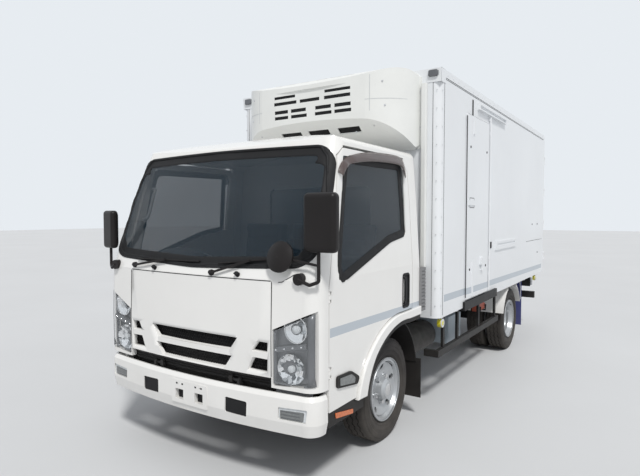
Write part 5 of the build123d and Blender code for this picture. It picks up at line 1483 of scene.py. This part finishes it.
# %% Seat fabric
seat_cloth = finish(
    "woven_seat_fabric", (0.155, 0.160, 0.175), 0.85,
    tone=0.14, tone_scale=14, gloss=0.05
)
tree = seat_cloth.node_tree
shader = tree.nodes["Principled BSDF"]
shader.inputs["Sheen Weight"].default_value = 0.25
place = object_place(tree)
threads = []
for direction in ("X", "Z"):
    wave = tree.nodes.new("ShaderNodeTexWave")
    wave.bands_direction = direction
    wave.inputs["Scale"].default_value = 260
    wave.inputs["Distortion"].default_value = 0.6
    tree.links.new(place.outputs["Object"], wave.inputs["Vector"])
    threads.append(wave.outputs["Fac"])
weave = maths(tree, "MAXIMUM", *threads)
bump = tree.nodes.new("ShaderNodeBump")
bump.inputs["Strength"].default_value = 0.3
bump.inputs["Distance"].default_value = 0.0008
tree.links.new(weave, bump.inputs["Height"])
tree.links.new(bump.outputs["Normal"], shader.inputs["Normal"])
print("seat fabric made")

# %% [markdown]
# A pad starts as a simple block, a little smaller than the finished one, with its edges rounded and
# its skin remeshed into even cells, because cloth folds and swells well only where the cells are
# alike. Blocks for three seats stand side by side: driver, middle and passenger.

# %% Blocks for the pads
SEAT_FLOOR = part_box("seats")[0].z
# left edge and right edge of each seat
SEATS = ((-0.690, -0.180), (-0.140, 0.200), (0.240, 0.740))
VOXEL = 0.015
PAD_START = 0.012
PAD_CAP = 0.024
CUSHION_TOP = 1.120
BACK_SECTION = ((0.134, 1.06), (0.134, 1.14), (0.196, 1.678), (0.300, 1.678), (0.286, 1.06))


def pad_block(name, x0, x1, section):
    """Remeshed pad between x0 and x1 with a section in y and z."""
    bm = bmesh.new()
    add_shell(bm, [[bm.verts.new(at(x, y, z)) for y, z in section] for x in (x0, x1)])
    bmesh.ops.recalc_face_normals(bm, faces=bm.faces)
    bmesh.ops.bevel(bm, geom=bm.edges[:], offset=0.030, segments=4, affect="EDGES", profile=0.6)
    mesh = bpy.data.meshes.new(name)
    bm.to_mesh(mesh)
    bm.free()
    obj = bpy.data.objects.new(name, mesh)
    scene.collection.objects.link(obj)
    voxels = obj.modifiers.new("voxels", "REMESH")
    voxels.mode = "VOXEL"
    voxels.voxel_size = VOXEL
    return obj


def applied(obj):
    """Mesh of an object with its modifiers done; the object keeps the plain mesh."""
    depsgraph = bpy.context.evaluated_depsgraph_get()
    mesh = bpy.data.meshes.new_from_object(obj.evaluated_get(depsgraph))
    obj.modifiers.clear()
    obj.data = mesh
    return mesh


print("seats:", len(SEATS), "on a floor at", round(SEAT_FLOOR, 3))

# %% Pads swell under pressure
pads = []
low, high = SEAT_FLOOR + 0.004, CUSHION_TOP - PAD_START
FRONT_EDGE = -0.420 + PAD_START
CUSHION_SECTION = (
    (FRONT_EDGE, low), (0.108, low), (0.108, high - 0.012), (-0.30, high), (FRONT_EDGE, high - 0.03),
)
for number, (x0, x1) in enumerate(SEATS, start=1):
    a, b = x0 + PAD_START, x1 - PAD_START
    pads.append((pad_block(f"seat_cushion_{number}", a, b, CUSHION_SECTION), x0, x1, "z"))
    a, b = x0 + 0.01 + PAD_START, x1 - 0.01 - PAD_START
    pads.append((pad_block(f"seat_back_{number}", a, b, BACK_SECTION), x0, x1, "y"))
starts = []
SWELL_STEPS = 16
for obj, x0, x1, facing_axis in pads:
    mesh = applied(obj)
    starts.append([v.co.copy() for v in mesh.vertices])
    cloth = obj.modifiers.new("swell", "CLOTH")
    cloth.settings.use_pressure = True
    cloth.settings.uniform_pressure_force = 4
    cloth.settings.effector_weights.gravity = 0
    cloth.settings.quality = 4
    cloth.settings.mass = 0.3
for step in range(1, SWELL_STEPS + 1):
    scene.frame_set(step)
print("pads:", len(pads), "faces in the first:", len(pads[0][0].data.polygons))

# %% [markdown]
# The swollen pads get their sewn channels: three lines across and two along, pressed in by a few
# millimetres on the side that a person sits on. What swelled past the room of its seat is
# brought back, so that no pad enters another piece.

# %% Channels of the seats
# places of the channels as shares of a pad, and half their widths
CROSS_SEAMS, CROSS_HALF = (0.27, 0.5, 0.73), 0.022
LONG_SEAMS, LONG_HALF = (0.14, 0.86), 0.020
SEAM_DEPTH = 0.008
# where a cushion's and a back's channels start, and the length that they share out
CUSHION_FROM, CUSHION_LONG = -0.42, 0.53
BACK_FROM, BACK_LONG = 1.12, 0.56
# the sitting side lies above this height on a cushion, and before this depth on a back
SITTING_Z, SITTING_Y = 1.06, 0.26
CUSHION_END, CUSHION_LIMIT, BACK_START = 0.118, 1.124, 0.121
MARGIN = 0.001
for (obj, x0, x1, facing_axis), rest in zip(pads, starts):
    mesh = applied(obj)
    for v, start in zip(mesh.vertices, rest):
        travel = v.co - start
        if travel.length > PAD_CAP:
            v.co = start + travel.normalized() * PAD_CAP
    finer = obj.modifiers.new("finer", "SUBSURF")
    finer.levels = 1
    finer.render_levels = 1
    mesh = applied(obj)
    node_low, node_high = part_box("seats")
    for v in mesh.vertices:
        across = (v.co.x - x0) / (x1 - x0)
        if facing_axis == "z":
            along = (v.co.y - AXLE_Y - CUSHION_FROM) / CUSHION_LONG
            sitting = v.co.z > SITTING_Z
        else:
            along = (v.co.z - BACK_FROM) / BACK_LONG
            sitting = v.co.y < AXLE_Y + SITTING_Y
        if sitting:
            presses = [1 - abs(along - seam) / CROSS_HALF for seam in CROSS_SEAMS]
            presses += [1 - abs(across - seam) / LONG_HALF for seam in LONG_SEAMS]
            depth = SEAM_DEPTH * max(0.0, *presses)
            if facing_axis == "z":
                v.co.z -= depth
            else:
                v.co.y += depth
        v.co.x = min(max(v.co.x, x0 + MARGIN), x1 - MARGIN)
        v.co.y = min(max(v.co.y, node_low.y + MARGIN), node_high.y - MARGIN)
        v.co.z = min(max(v.co.z, node_low.z + MARGIN), node_high.z - MARGIN)
        if facing_axis == "z":
            v.co.y = min(v.co.y, AXLE_Y + CUSHION_END)
            v.co.z = min(v.co.z, CUSHION_LIMIT)
        else:
            v.co.y = max(v.co.y, AXLE_Y + BACK_START)
    mesh.materials.clear()
    mesh.materials.append(seat_cloth)
    mesh.shade_smooth()
    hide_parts("seats")
    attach(obj, "cab")
print("seat pads finished:", len(pads))

# %% [markdown]
# What lies behind an opening is in shade in a real truck. Thin black sheets of painted shade close
# the bumper's openings and the holes of the bare plate seat a little way in, and the cooling unit's
# slots get such sheets of painted shade as well, so that nothing pale shows through them. Ribs and
# a smoked glass finish the fog lamps between them.

# %% Painted shade in the bumper's openings
BUMPER = ("front_bumper",)
# distance behind the skin and height of the four corners of each sheet of painted shade
OPENING_SHADE = ((0.0056, 0.432), (0.0056, 0.568), (0.0072, 0.568), (0.0072, 0.432))
bm = bmesh.new()
for sign in (-1, 1):
    columns = []
    for k in range(6):
        x = sign * (0.305 + 0.042 * k)
        y = on_front(x, 0.60, BUMPER).y - AXLE_Y
        columns.append([bm.verts.new(at(x, y + d, z)) for d, z in OPENING_SHADE])
    add_shell(bm, columns)
add_box(bm, (-0.150, -1.118, 0.440), (0.150, -1.115, 0.545))
piece("bumper_opening_shade", bm, shade_and_vent_black, "chassis")

# Black boxes in the holes of the plate seat: painted shade.
bm = bmesh.new()
for sign in (-1, 1):
    for x0, x1 in ((0.056, 0.072), (0.111, 0.127)):
        a, b = sorted((sign * x0, sign * x1))
        front = on_front((a + b) / 2, 0.565, BUMPER).y - AXLE_Y
        add_box(bm, (a, front - 0.0002, 0.559), (b, front + 0.004, 0.571))
piece("plate_seat_slot_shade", bm, shade_and_vent_black, "chassis")

print("bumper opening shade made")

# %% Fog lamps in the bumper
FOG_NODES = ("body_lamps", "front_bumper")
FOG_GLASS = ((0.744, 0.482), (0.905, 0.482), (0.912, 0.540), (0.744, 0.534))
FOG_MIDDLE = Vector((0.826, 0.509))
bm = bmesh.new()
for sign in (-1, 1):
    for z in (0.488, 0.508, 0.528):
        ribs = [on_front(sign * (0.752 + 0.026 * k), z, FOG_NODES, 0.001) for k in range(6)]
        add_bar(bm, ribs, 0.0045, 0.003, up=AHEAD)
piece("fog_lamp_ribs", bm, lamp_grey, "chassis")
bm = bmesh.new()
for sign in (-1, 1):
    face = rounded(FOG_GLASS, 0.008, 3)
    rings = []
    for lift, share in ((0.0002, 1.0), (0.0012, 0.99), (0.0012, 0.6), (0.0012, 0.2)):
        points = scaled(face, FOG_MIDDLE, share)
        rings.append([bm.verts.new(on_front(sign * p.x, p.y, FOG_NODES, lift)) for p in points])
    add_shell(bm, rings, foot=False)
piece("fog_lamp_glass", bm, smoke_lens, "chassis", smooth=50)
print("fog lamps made")

# %% [markdown]
# The cooling unit is a moulded shell with rows of slots. Each slot gets a black box a little smaller
# than itself, as painted shade for the dark inside of the slot. The seam between the shell's halves, a
# grey line of painted shade down the fold at each side and the bolts lie on the outer skin, so rays place
# them.

# %% Painted shade in the cooling unit's slots
# low z, high z, then the left and right x of the slots of each row in the unit's front
UNIT_ROWS = (
    (2.818, 2.844, ((-0.400, -0.158), (0.161, 0.424))),
    (2.760, 2.790, ((-0.404, -0.143), (-0.107, 0.108), (0.157, 0.424))),
    (2.680, 2.712, ((-0.396, -0.240), (-0.208, -0.038), (0.063, 0.230), (0.265, 0.429))),
    (2.628, 2.658, ((-0.396, -0.238), (-0.206, -0.028), (0.060, 0.237), (0.265, 0.434))),
)
TOP_SPANS = ((-0.400, -0.158), (-0.120, -0.015), (0.051, 0.169), (0.199, 0.440))
UNDER_SPANS = ((-0.372, -0.146), (-0.064, 0.157), (0.253, 0.474))
UNDER_SECTION = ((0.3866, 2.519), (0.4454, 2.470), (0.4454, 2.5594), (0.3866, 2.5594))
GAP = 0.0006
bm = bmesh.new()
for z0, z1, spans in UNIT_ROWS:
    for x0, x1 in spans:
        add_box(bm, (x0 + GAP, 0.319, z0 + GAP), (x1 - GAP, 0.3694, z1 - GAP))
for x0, x1 in TOP_SPANS:
    for y in (0.346, 0.368):
        add_box(bm, (x0 + GAP, y + GAP, 2.9286), (x1 - GAP, y + 0.009 - GAP, 2.938))
for x0, x1 in UNDER_SPANS:
    ends = (x0 + GAP, x1 - GAP)
    add_shell(bm, [[bm.verts.new(at(x, y, z)) for y, z in UNDER_SECTION] for x in ends])
piece("unit_slot_shade", bm, shade_and_vent_black, "chassis")

print("unit slot shade made")

# %% The cooling unit's seams, painted fold shade and bolts
UNIT = ("fridge_unit",)
# the bolts of the skirt, the lower corners, the shoulders and the upper corners
UNIT_BOLTS = (
    (-0.354, 2.47), (-0.099, 2.47), (0.159, 2.47), (0.417, 2.47), (0.616, 2.50),
    (-0.616, 2.50), (0.72, 2.66), (-0.72, 2.66), (0.70, 2.86), (-0.70, 2.86),
)
bm = bmesh.new()
seam = [on_front(-0.86 + 1.72 * k / 40, 2.717, UNIT, 0.0004) for k in range(41)]
for half in ([p for p in seam if p.x < -0.545], [p for p in seam if p.x > 0.545]):
    add_bar(bm, half, 0.004, 0.003, up=AHEAD)
# down each side's fold, a grey line of painted shade; the line across the unit is the real seam
for sign in (-1, 1):
    crease_shade = [on_front(sign * 0.60, 2.62 + 0.30 * k / 10, UNIT, 0.0004) for k in range(11)]
    add_bar(bm, crease_shade, 0.004, 0.003, up=AHEAD)
piece("unit_seam_and_crease_shade", bm, label_grey, "chassis", smooth=30)

bolts = []
for x, z in UNIT_BOLTS:
    spot = on_front(x, z, UNIT)
    slope = (on_front(x, z + 0.01, UNIT) - spot).normalized()
    bolts.append((spot, (0, -abs(slope.z), slope.y) if abs(slope.z) > 0.1 else AHEAD))
for sign in (-1, 1):
    for z in (2.803, 2.493):
        bolts.append((at(sign * 0.925, 0.6675, z), AHEAD))
fasteners("unit_bolts", bolts, "chassis", "zinc_steel", zinc_steel, 0.009, 0.006, top=0.008)
print("unit details made")

# %% [markdown]
# The box is built of flat insulated panels under aluminium edge rails. Blind rivets hold the rails,
# caps close the upper corners and carry the clearance lamps, and thin dark seams of
# sealant run where panels meet. The side door hangs on a rail with black rubber round it. Rivets
# could be bumps in the paint, but they catch the light from the side and so are solid.

# %% Box rivets
LEFT_WALL = ("box_left_wall", "side_door", "box_roof", "rear_frame")
LEFT_WALL_AND_GEAR = LEFT_WALL + ("side_door_gear",)
RIVET = {"radius": 0.0055, "height": 0.0028, "sides": 10, "top": 0.0035}
rivets = []
box_low, box_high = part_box("box_left_wall")
roof_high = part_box("box_roof")[1]
WALL_FRONT, WALL_REAR = box_low.y - AXLE_Y, box_high.y - AXLE_Y
for sign in (-1, 1):
    for k in range(30):
        y = WALL_FRONT + 0.08 + (WALL_REAR - WALL_FRONT - 0.16) * k / 29
        rivets.append((at(sign * roof_high.x, y, 2.945), (sign, 0, 0)))
    for k in range(13):
        z = 0.95 + 1.85 * k / 12
        rivets.append((at(sign * roof_high.x, 0.725, z), (sign, 0, 0)))
        rivets.append((at(sign * 1.065, 0.680, z), AHEAD))
fasteners("box_rivets", rivets, "chassis", "zinc_steel", zinc_steel, **RIVET)
print("rivets:", len(rivets))

# %% Box seams, corner caps and clearance lamps
SEAM = (0.003, 0.003)
bm = bmesh.new()
for sign in (-1, 1):
    out = sign * (roof_high.x + 0.0004)
    inner = sign * 1.030
    for z in (2.918, 2.906):
        add_bar(bm, [at(out, WALL_FRONT + 0.002, z), at(out, WALL_REAR - 0.002, z)], *SEAM, up=(sign, 0, 0))
    add_bar(bm, [at(out, 0.767, 0.86), at(out, 0.767, 2.90)], *SEAM, up=(sign, 0, 0))
    add_bar(bm, [at(inner, 0.6796, 0.86), at(inner, 0.6796, 2.94)], *SEAM, up=AHEAD)
piece("box_seams", bm, seal_black, "chassis", smooth=30)

bm = bmesh.new()
for sign in (-1, 1):
    x0, x1 = sorted((sign * 0.975, sign * (roof_high.x + 0.0035)))
    add_box(bm, (x0, 0.6765, 2.868), (x1, 0.6798, 2.984))
    x0, x1 = sorted((sign * (roof_high.x + 0.0004), sign * (roof_high.x + 0.0035)))
    add_box(bm, (x0, 0.6765, 2.868), (x1, 0.790, 2.984))
piece("box_corner_caps", bm, box_white, "chassis", bevel=0.0012)
CLEARANCE_LAMP = ((0.990, 2.914), (1.078, 2.914), (1.078, 2.970), (0.990, 2.970))
CLEARANCE_RINGS = ((0.6768, 1.0), (0.6640, 1.0), (0.6600, 0.90), (0.6590, 0.6))


def add_lens(bm, sign, outline, centre, rings):
    """Lens that faces along the truck, from rings of (y, share of the outline)."""
    loops = []
    for y, share in rings:
        loops.append([bm.verts.new(at(sign * p.x, y, p.y)) for p in scaled(outline, centre, share)])
    add_shell(bm, loops)


bm = bmesh.new()
for sign in (-1, 1):
    add_lens(bm, sign, rounded(CLEARANCE_LAMP, 0.016, 4), Vector((1.034, 2.942)), CLEARANCE_RINGS)
piece("clearance_lamps", bm, lamp_grey, "chassis", smooth=40)

print("seams, caps and lamps made")

# %% Side door's rubber and strap, and the wall's dots and seams
door_low, door_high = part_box("side_door")


def rectangle(x0, x1, z0, z1):
    """Corners of a rectangle, in the order that an outline runs."""
    return ((x0, z0), (x1, z0), (x1, z1), (x0, z1))


bm = bmesh.new()
edge = rectangle(door_low.y - AXLE_Y, door_high.y - AXLE_Y, door_low.z, door_high.z)
loop = [at(door_high.x - 0.007, p.x, p.y) for p in spaced(rounded(edge, 0.02, 4), 120)]
add_bar(bm, loop + loop[:1], 0.008, 0.006, up=(1, 0, 0))
piece("side_door_gasket", bm, seal_black, "chassis", smooth=30)

bm = bmesh.new()
hook = on_side(1.56, 2.80, LEFT_WALL_AND_GEAR)
strap = [at(hook.x + 0.003, 1.56, z) for z in (2.87, 2.78, 2.70, 2.62, 2.536)]
add_bar(bm, strap, 0.030, 0.003, up=(1, 0, 0))
add_bar(bm, [at(hook.x + 0.004, 1.543, 2.536), at(hook.x + 0.004, 1.577, 2.536)], 0.014)
clip = on_side(2.258, 1.405, LEFT_WALL_AND_GEAR)
add_box(bm, (clip.x - 0.001, 2.235, 1.370), (clip.x + 0.008, 2.281, 1.440))
piece("side_door_strap", bm, seal_black, "chassis", bevel=0.001)

WALL_DOTS = (
    (4.437, 1.605), (4.798, 1.605), (4.836, 1.176),
    (1.47, 1.20), (1.47, 2.40), (2.02, 1.20), (2.02, 2.40),
)
LATCH_PLATE = rectangle(1.45, 1.60, 1.807, 1.907)
dots = [(on_side(y, z, LEFT_WALL_AND_GEAR), (1, 0, 0)) for y, z in WALL_DOTS]
fasteners("wall_dots", dots, "chassis", "black_plastic", seal_black, 0.013, 0.004, sides=16, top=0.011)
bm = bmesh.new()
seam = [on_side(4.057 + 1.10 * k / 8, 1.367, LEFT_WALL, 0.0004) for k in range(9)]
add_bar(bm, seam, 0.004, 0.003, up=(1, 0, 0))
plate = rounded(LATCH_PLATE, 0.012, 3)
band_on(bm, plate, lambda p: 0.006, lambda y, z: on_side(y, z, LEFT_WALL, 0.0008), count=60, across=1)
piece("wall_seams", bm, seal_black, "chassis", smooth=30)
print("box details made")

# %% [markdown]
# The rear doors close on rubber gaskets. Their hinges are bolted with two bolts to a leaf, and
# the lock rods run in guides. The lamps in the rear underrun have red, amber and clear fields.

# %% Rear door gaskets and bolts
def on_rear(x, z, names, lift=0.0):
    """Point on the rear face of the nodes at x and z, lifted backwards."""
    return meet(names, at(x, BEHIND, z), Vector((0, -1, 0)), lift)


BEHIND = 8.0
REAR_X = (0.012, 1.060)
REAR_MARGIN = 0.012
for side, sign in SIDES:
    body = "rear_door_" + side
    low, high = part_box(body)
    bm = bmesh.new()
    skin_y = on_rear(sign * 0.35, 1.9, (body,)).y - AXLE_Y
    edge = rectangle(*REAR_X, low.z + REAR_MARGIN, high.z - REAR_MARGIN)
    loop = [at(sign * p.x, skin_y + 0.002, p.y) for p in spaced(rounded(edge, 0.02, 4), 100)]
    add_bar(bm, loop + loop[:1], 0.012, 0.006, up=(0, 1, 0))
    piece("rear_gasket_" + side, bm, seal_black, body, smooth=30)
    hinges = (low.z + 0.18, (low.z + high.z) / 2, high.z - 0.18)
    places = [(x, z + off) for z in hinges for off in (-0.02, 0.02) for x in (0.985, 1.03)]
    places += [(x, z) for z in (1.0, 1.5, 2.3, 2.8) for x in (0.06, 0.99)]
    spots = [(on_rear(sign * x, z, (body,)), (0, 1, 0)) for x, z in places]
    bolt = {"radius": 0.008, "height": 0.005, "top": 0.007}
    fasteners("rear_door_bolts_" + side, spots, body, "zinc_steel", zinc_steel, **bolt)

print("rear doors done")

# %% Tail lamps
# edges across, colour and finish of each field
TAIL_FIELDS = (
    (0.628, 0.728, "red", red_lens), (0.734, 0.834, "amber", amber_lens),
    (0.840, 0.952, "clear", white_lens),
)
TAIL_Z = (0.628, 0.732)
tail_y = on_rear(0.79, 0.68, ("body_lamps",)).y - AXLE_Y
tail_rings = [(tail_y + y, s) for y, s in ((-0.004, 1.0), (0.004, 1.0), (0.007, 0.93), (0.008, 0.70))]
for x0, x1, name, glass in TAIL_FIELDS:
    bm = bmesh.new()
    for sign in (-1, 1):
        field = rounded(rectangle(x0, x1, *TAIL_Z), 0.010, 3)
        add_lens(bm, sign, field, Vector(((x0 + x1) / 2, sum(TAIL_Z) / 2)), tail_rings)
    piece("tail_lens_" + name, bm, glass, "chassis", smooth=35)
print("tail lamps made")

# %% [markdown]
# Low on the sides sit the yellow round markers under the floor, a red rubber wheel chock in
# its holder behind the side door's step, and the stays of the blue flaps. Turned bodies, a wedge
# of four rings and bars along a path are enough for them.

# %% Markers, chock and stays
MARKER = (
    (0.0, 0.0392), (0.030, 0.0392), (0.036, 0.0375), (0.0405, 0.030), (0.0425, 0.016), (0.043, 0.0),
)
FLAP_STAY = ((1.045, 3.955, 0.835), (1.050, 3.990, 0.700), (1.050, 3.996, 0.560))
HOLDER = ((0.885, 0.760), (0.885, 0.636), (0.985, 0.636), (0.985, 0.700))
CHOCK_MIDDLE = (2.41, 0.70)
bm = bmesh.new()
for sign in (-1, 1):
    for y in (0.800, 4.810):
        add_turned(bm, MARKER, at(sign * 1.0525, y, 0.784), (sign, 0, 0), 28)
piece("side_marker_lenses", bm, yellow_lens, "chassis", smooth=50)

bm = bmesh.new()
wedge = ((2.26, 0.645), (2.56, 0.645), (2.56, 0.700), (2.42, 0.752), (2.30, 0.752), (2.26, 0.72))
rings = []
for x, long, tall in ((0.900, 0.97, 0.93), (0.905, 1.0, 1.0), (0.965, 1.0, 1.0), (0.970, 0.97, 0.93)):
    my, mz = CHOCK_MIDDLE
    rings.append([bm.verts.new(at(x, my + (y - my) * long, mz + (z - mz) * tall)) for y, z in wedge])
add_shell(bm, rings)
piece("wheel_chock", bm, chock_red, "chassis", bevel=0.003)
bm = bmesh.new()
for y in (2.30, 2.50):
    add_bar(bm, [at(x, y, z) for x, z in HOLDER], 0.022, 0.004, up=(0, 1, 0))
piece("chock_holder", bm, frame_black, "chassis", bevel=0.001)

bm = bmesh.new()
for sign in (-1, 1):
    add_bar(bm, smooth_path([at(sign * x, y, z) for x, y, z in FLAP_STAY], 10), 0.010)
piece("flap_stays", bm, zinc_steel, "chassis")
print("side details made")

# %% [markdown]
# Through the glass one sees the instrument hood, vents and a grab handle on the right pillar. The
# hood is a sheet with a thickness, and the vents are dark bars that overlap like louvres.

# %% Dashboard details and grab handle
HOOD = (
    (-0.640, 1.400), (-0.625, 1.452), (-0.560, 1.476), (-0.430, 1.482),
    (-0.300, 1.476), (-0.235, 1.452), (-0.220, 1.400),
)
# depth of each row of the hood and how far it drops there
HOOD_ROWS = ((-0.945, 0.060), (-0.90, 0.020), (-0.86, 0.004), (-0.775, 0.0), (-0.770, 0.010))
GRAB = (
    (-0.905, -0.80, 1.700), (-0.860, -0.79, 1.715), (-0.850, -0.765, 1.80),
    (-0.848, -0.735, 1.90), (-0.852, -0.715, 1.945), (-0.890, -0.71, 1.955),
)
bm = bmesh.new()
add_sheet(bm, [[bm.verts.new(at(x, y, z - drop)) for x, z in HOOD] for y, drop in HOOD_ROWS])
solid(piece("instrument_hood", bm, dash_grey, "cab", smooth=50), 0.006)
bm = bmesh.new()
for x in (-0.845, -0.11, 0.11, 0.845):
    for k in range(5):
        y, z = -0.735 + 0.0025 * k, 1.285 + 0.013 * k
        add_bar(bm, [at(x - 0.05, y, z), at(x + 0.05, y, z)], 0.014, 0.003)
add_box(bm, (-0.105, -0.728, 1.180), (0.105, -0.722, 1.262))
piece("dash_vents", bm, shade_and_vent_black, "cab", bevel=0.001)
bm = bmesh.new()
add_bar(bm, smooth_path([at(*p) for p in GRAB], 24), 0.026)
piece("grab_handle", bm, label_grey, "cab", smooth=60)
print("dashboard details made")
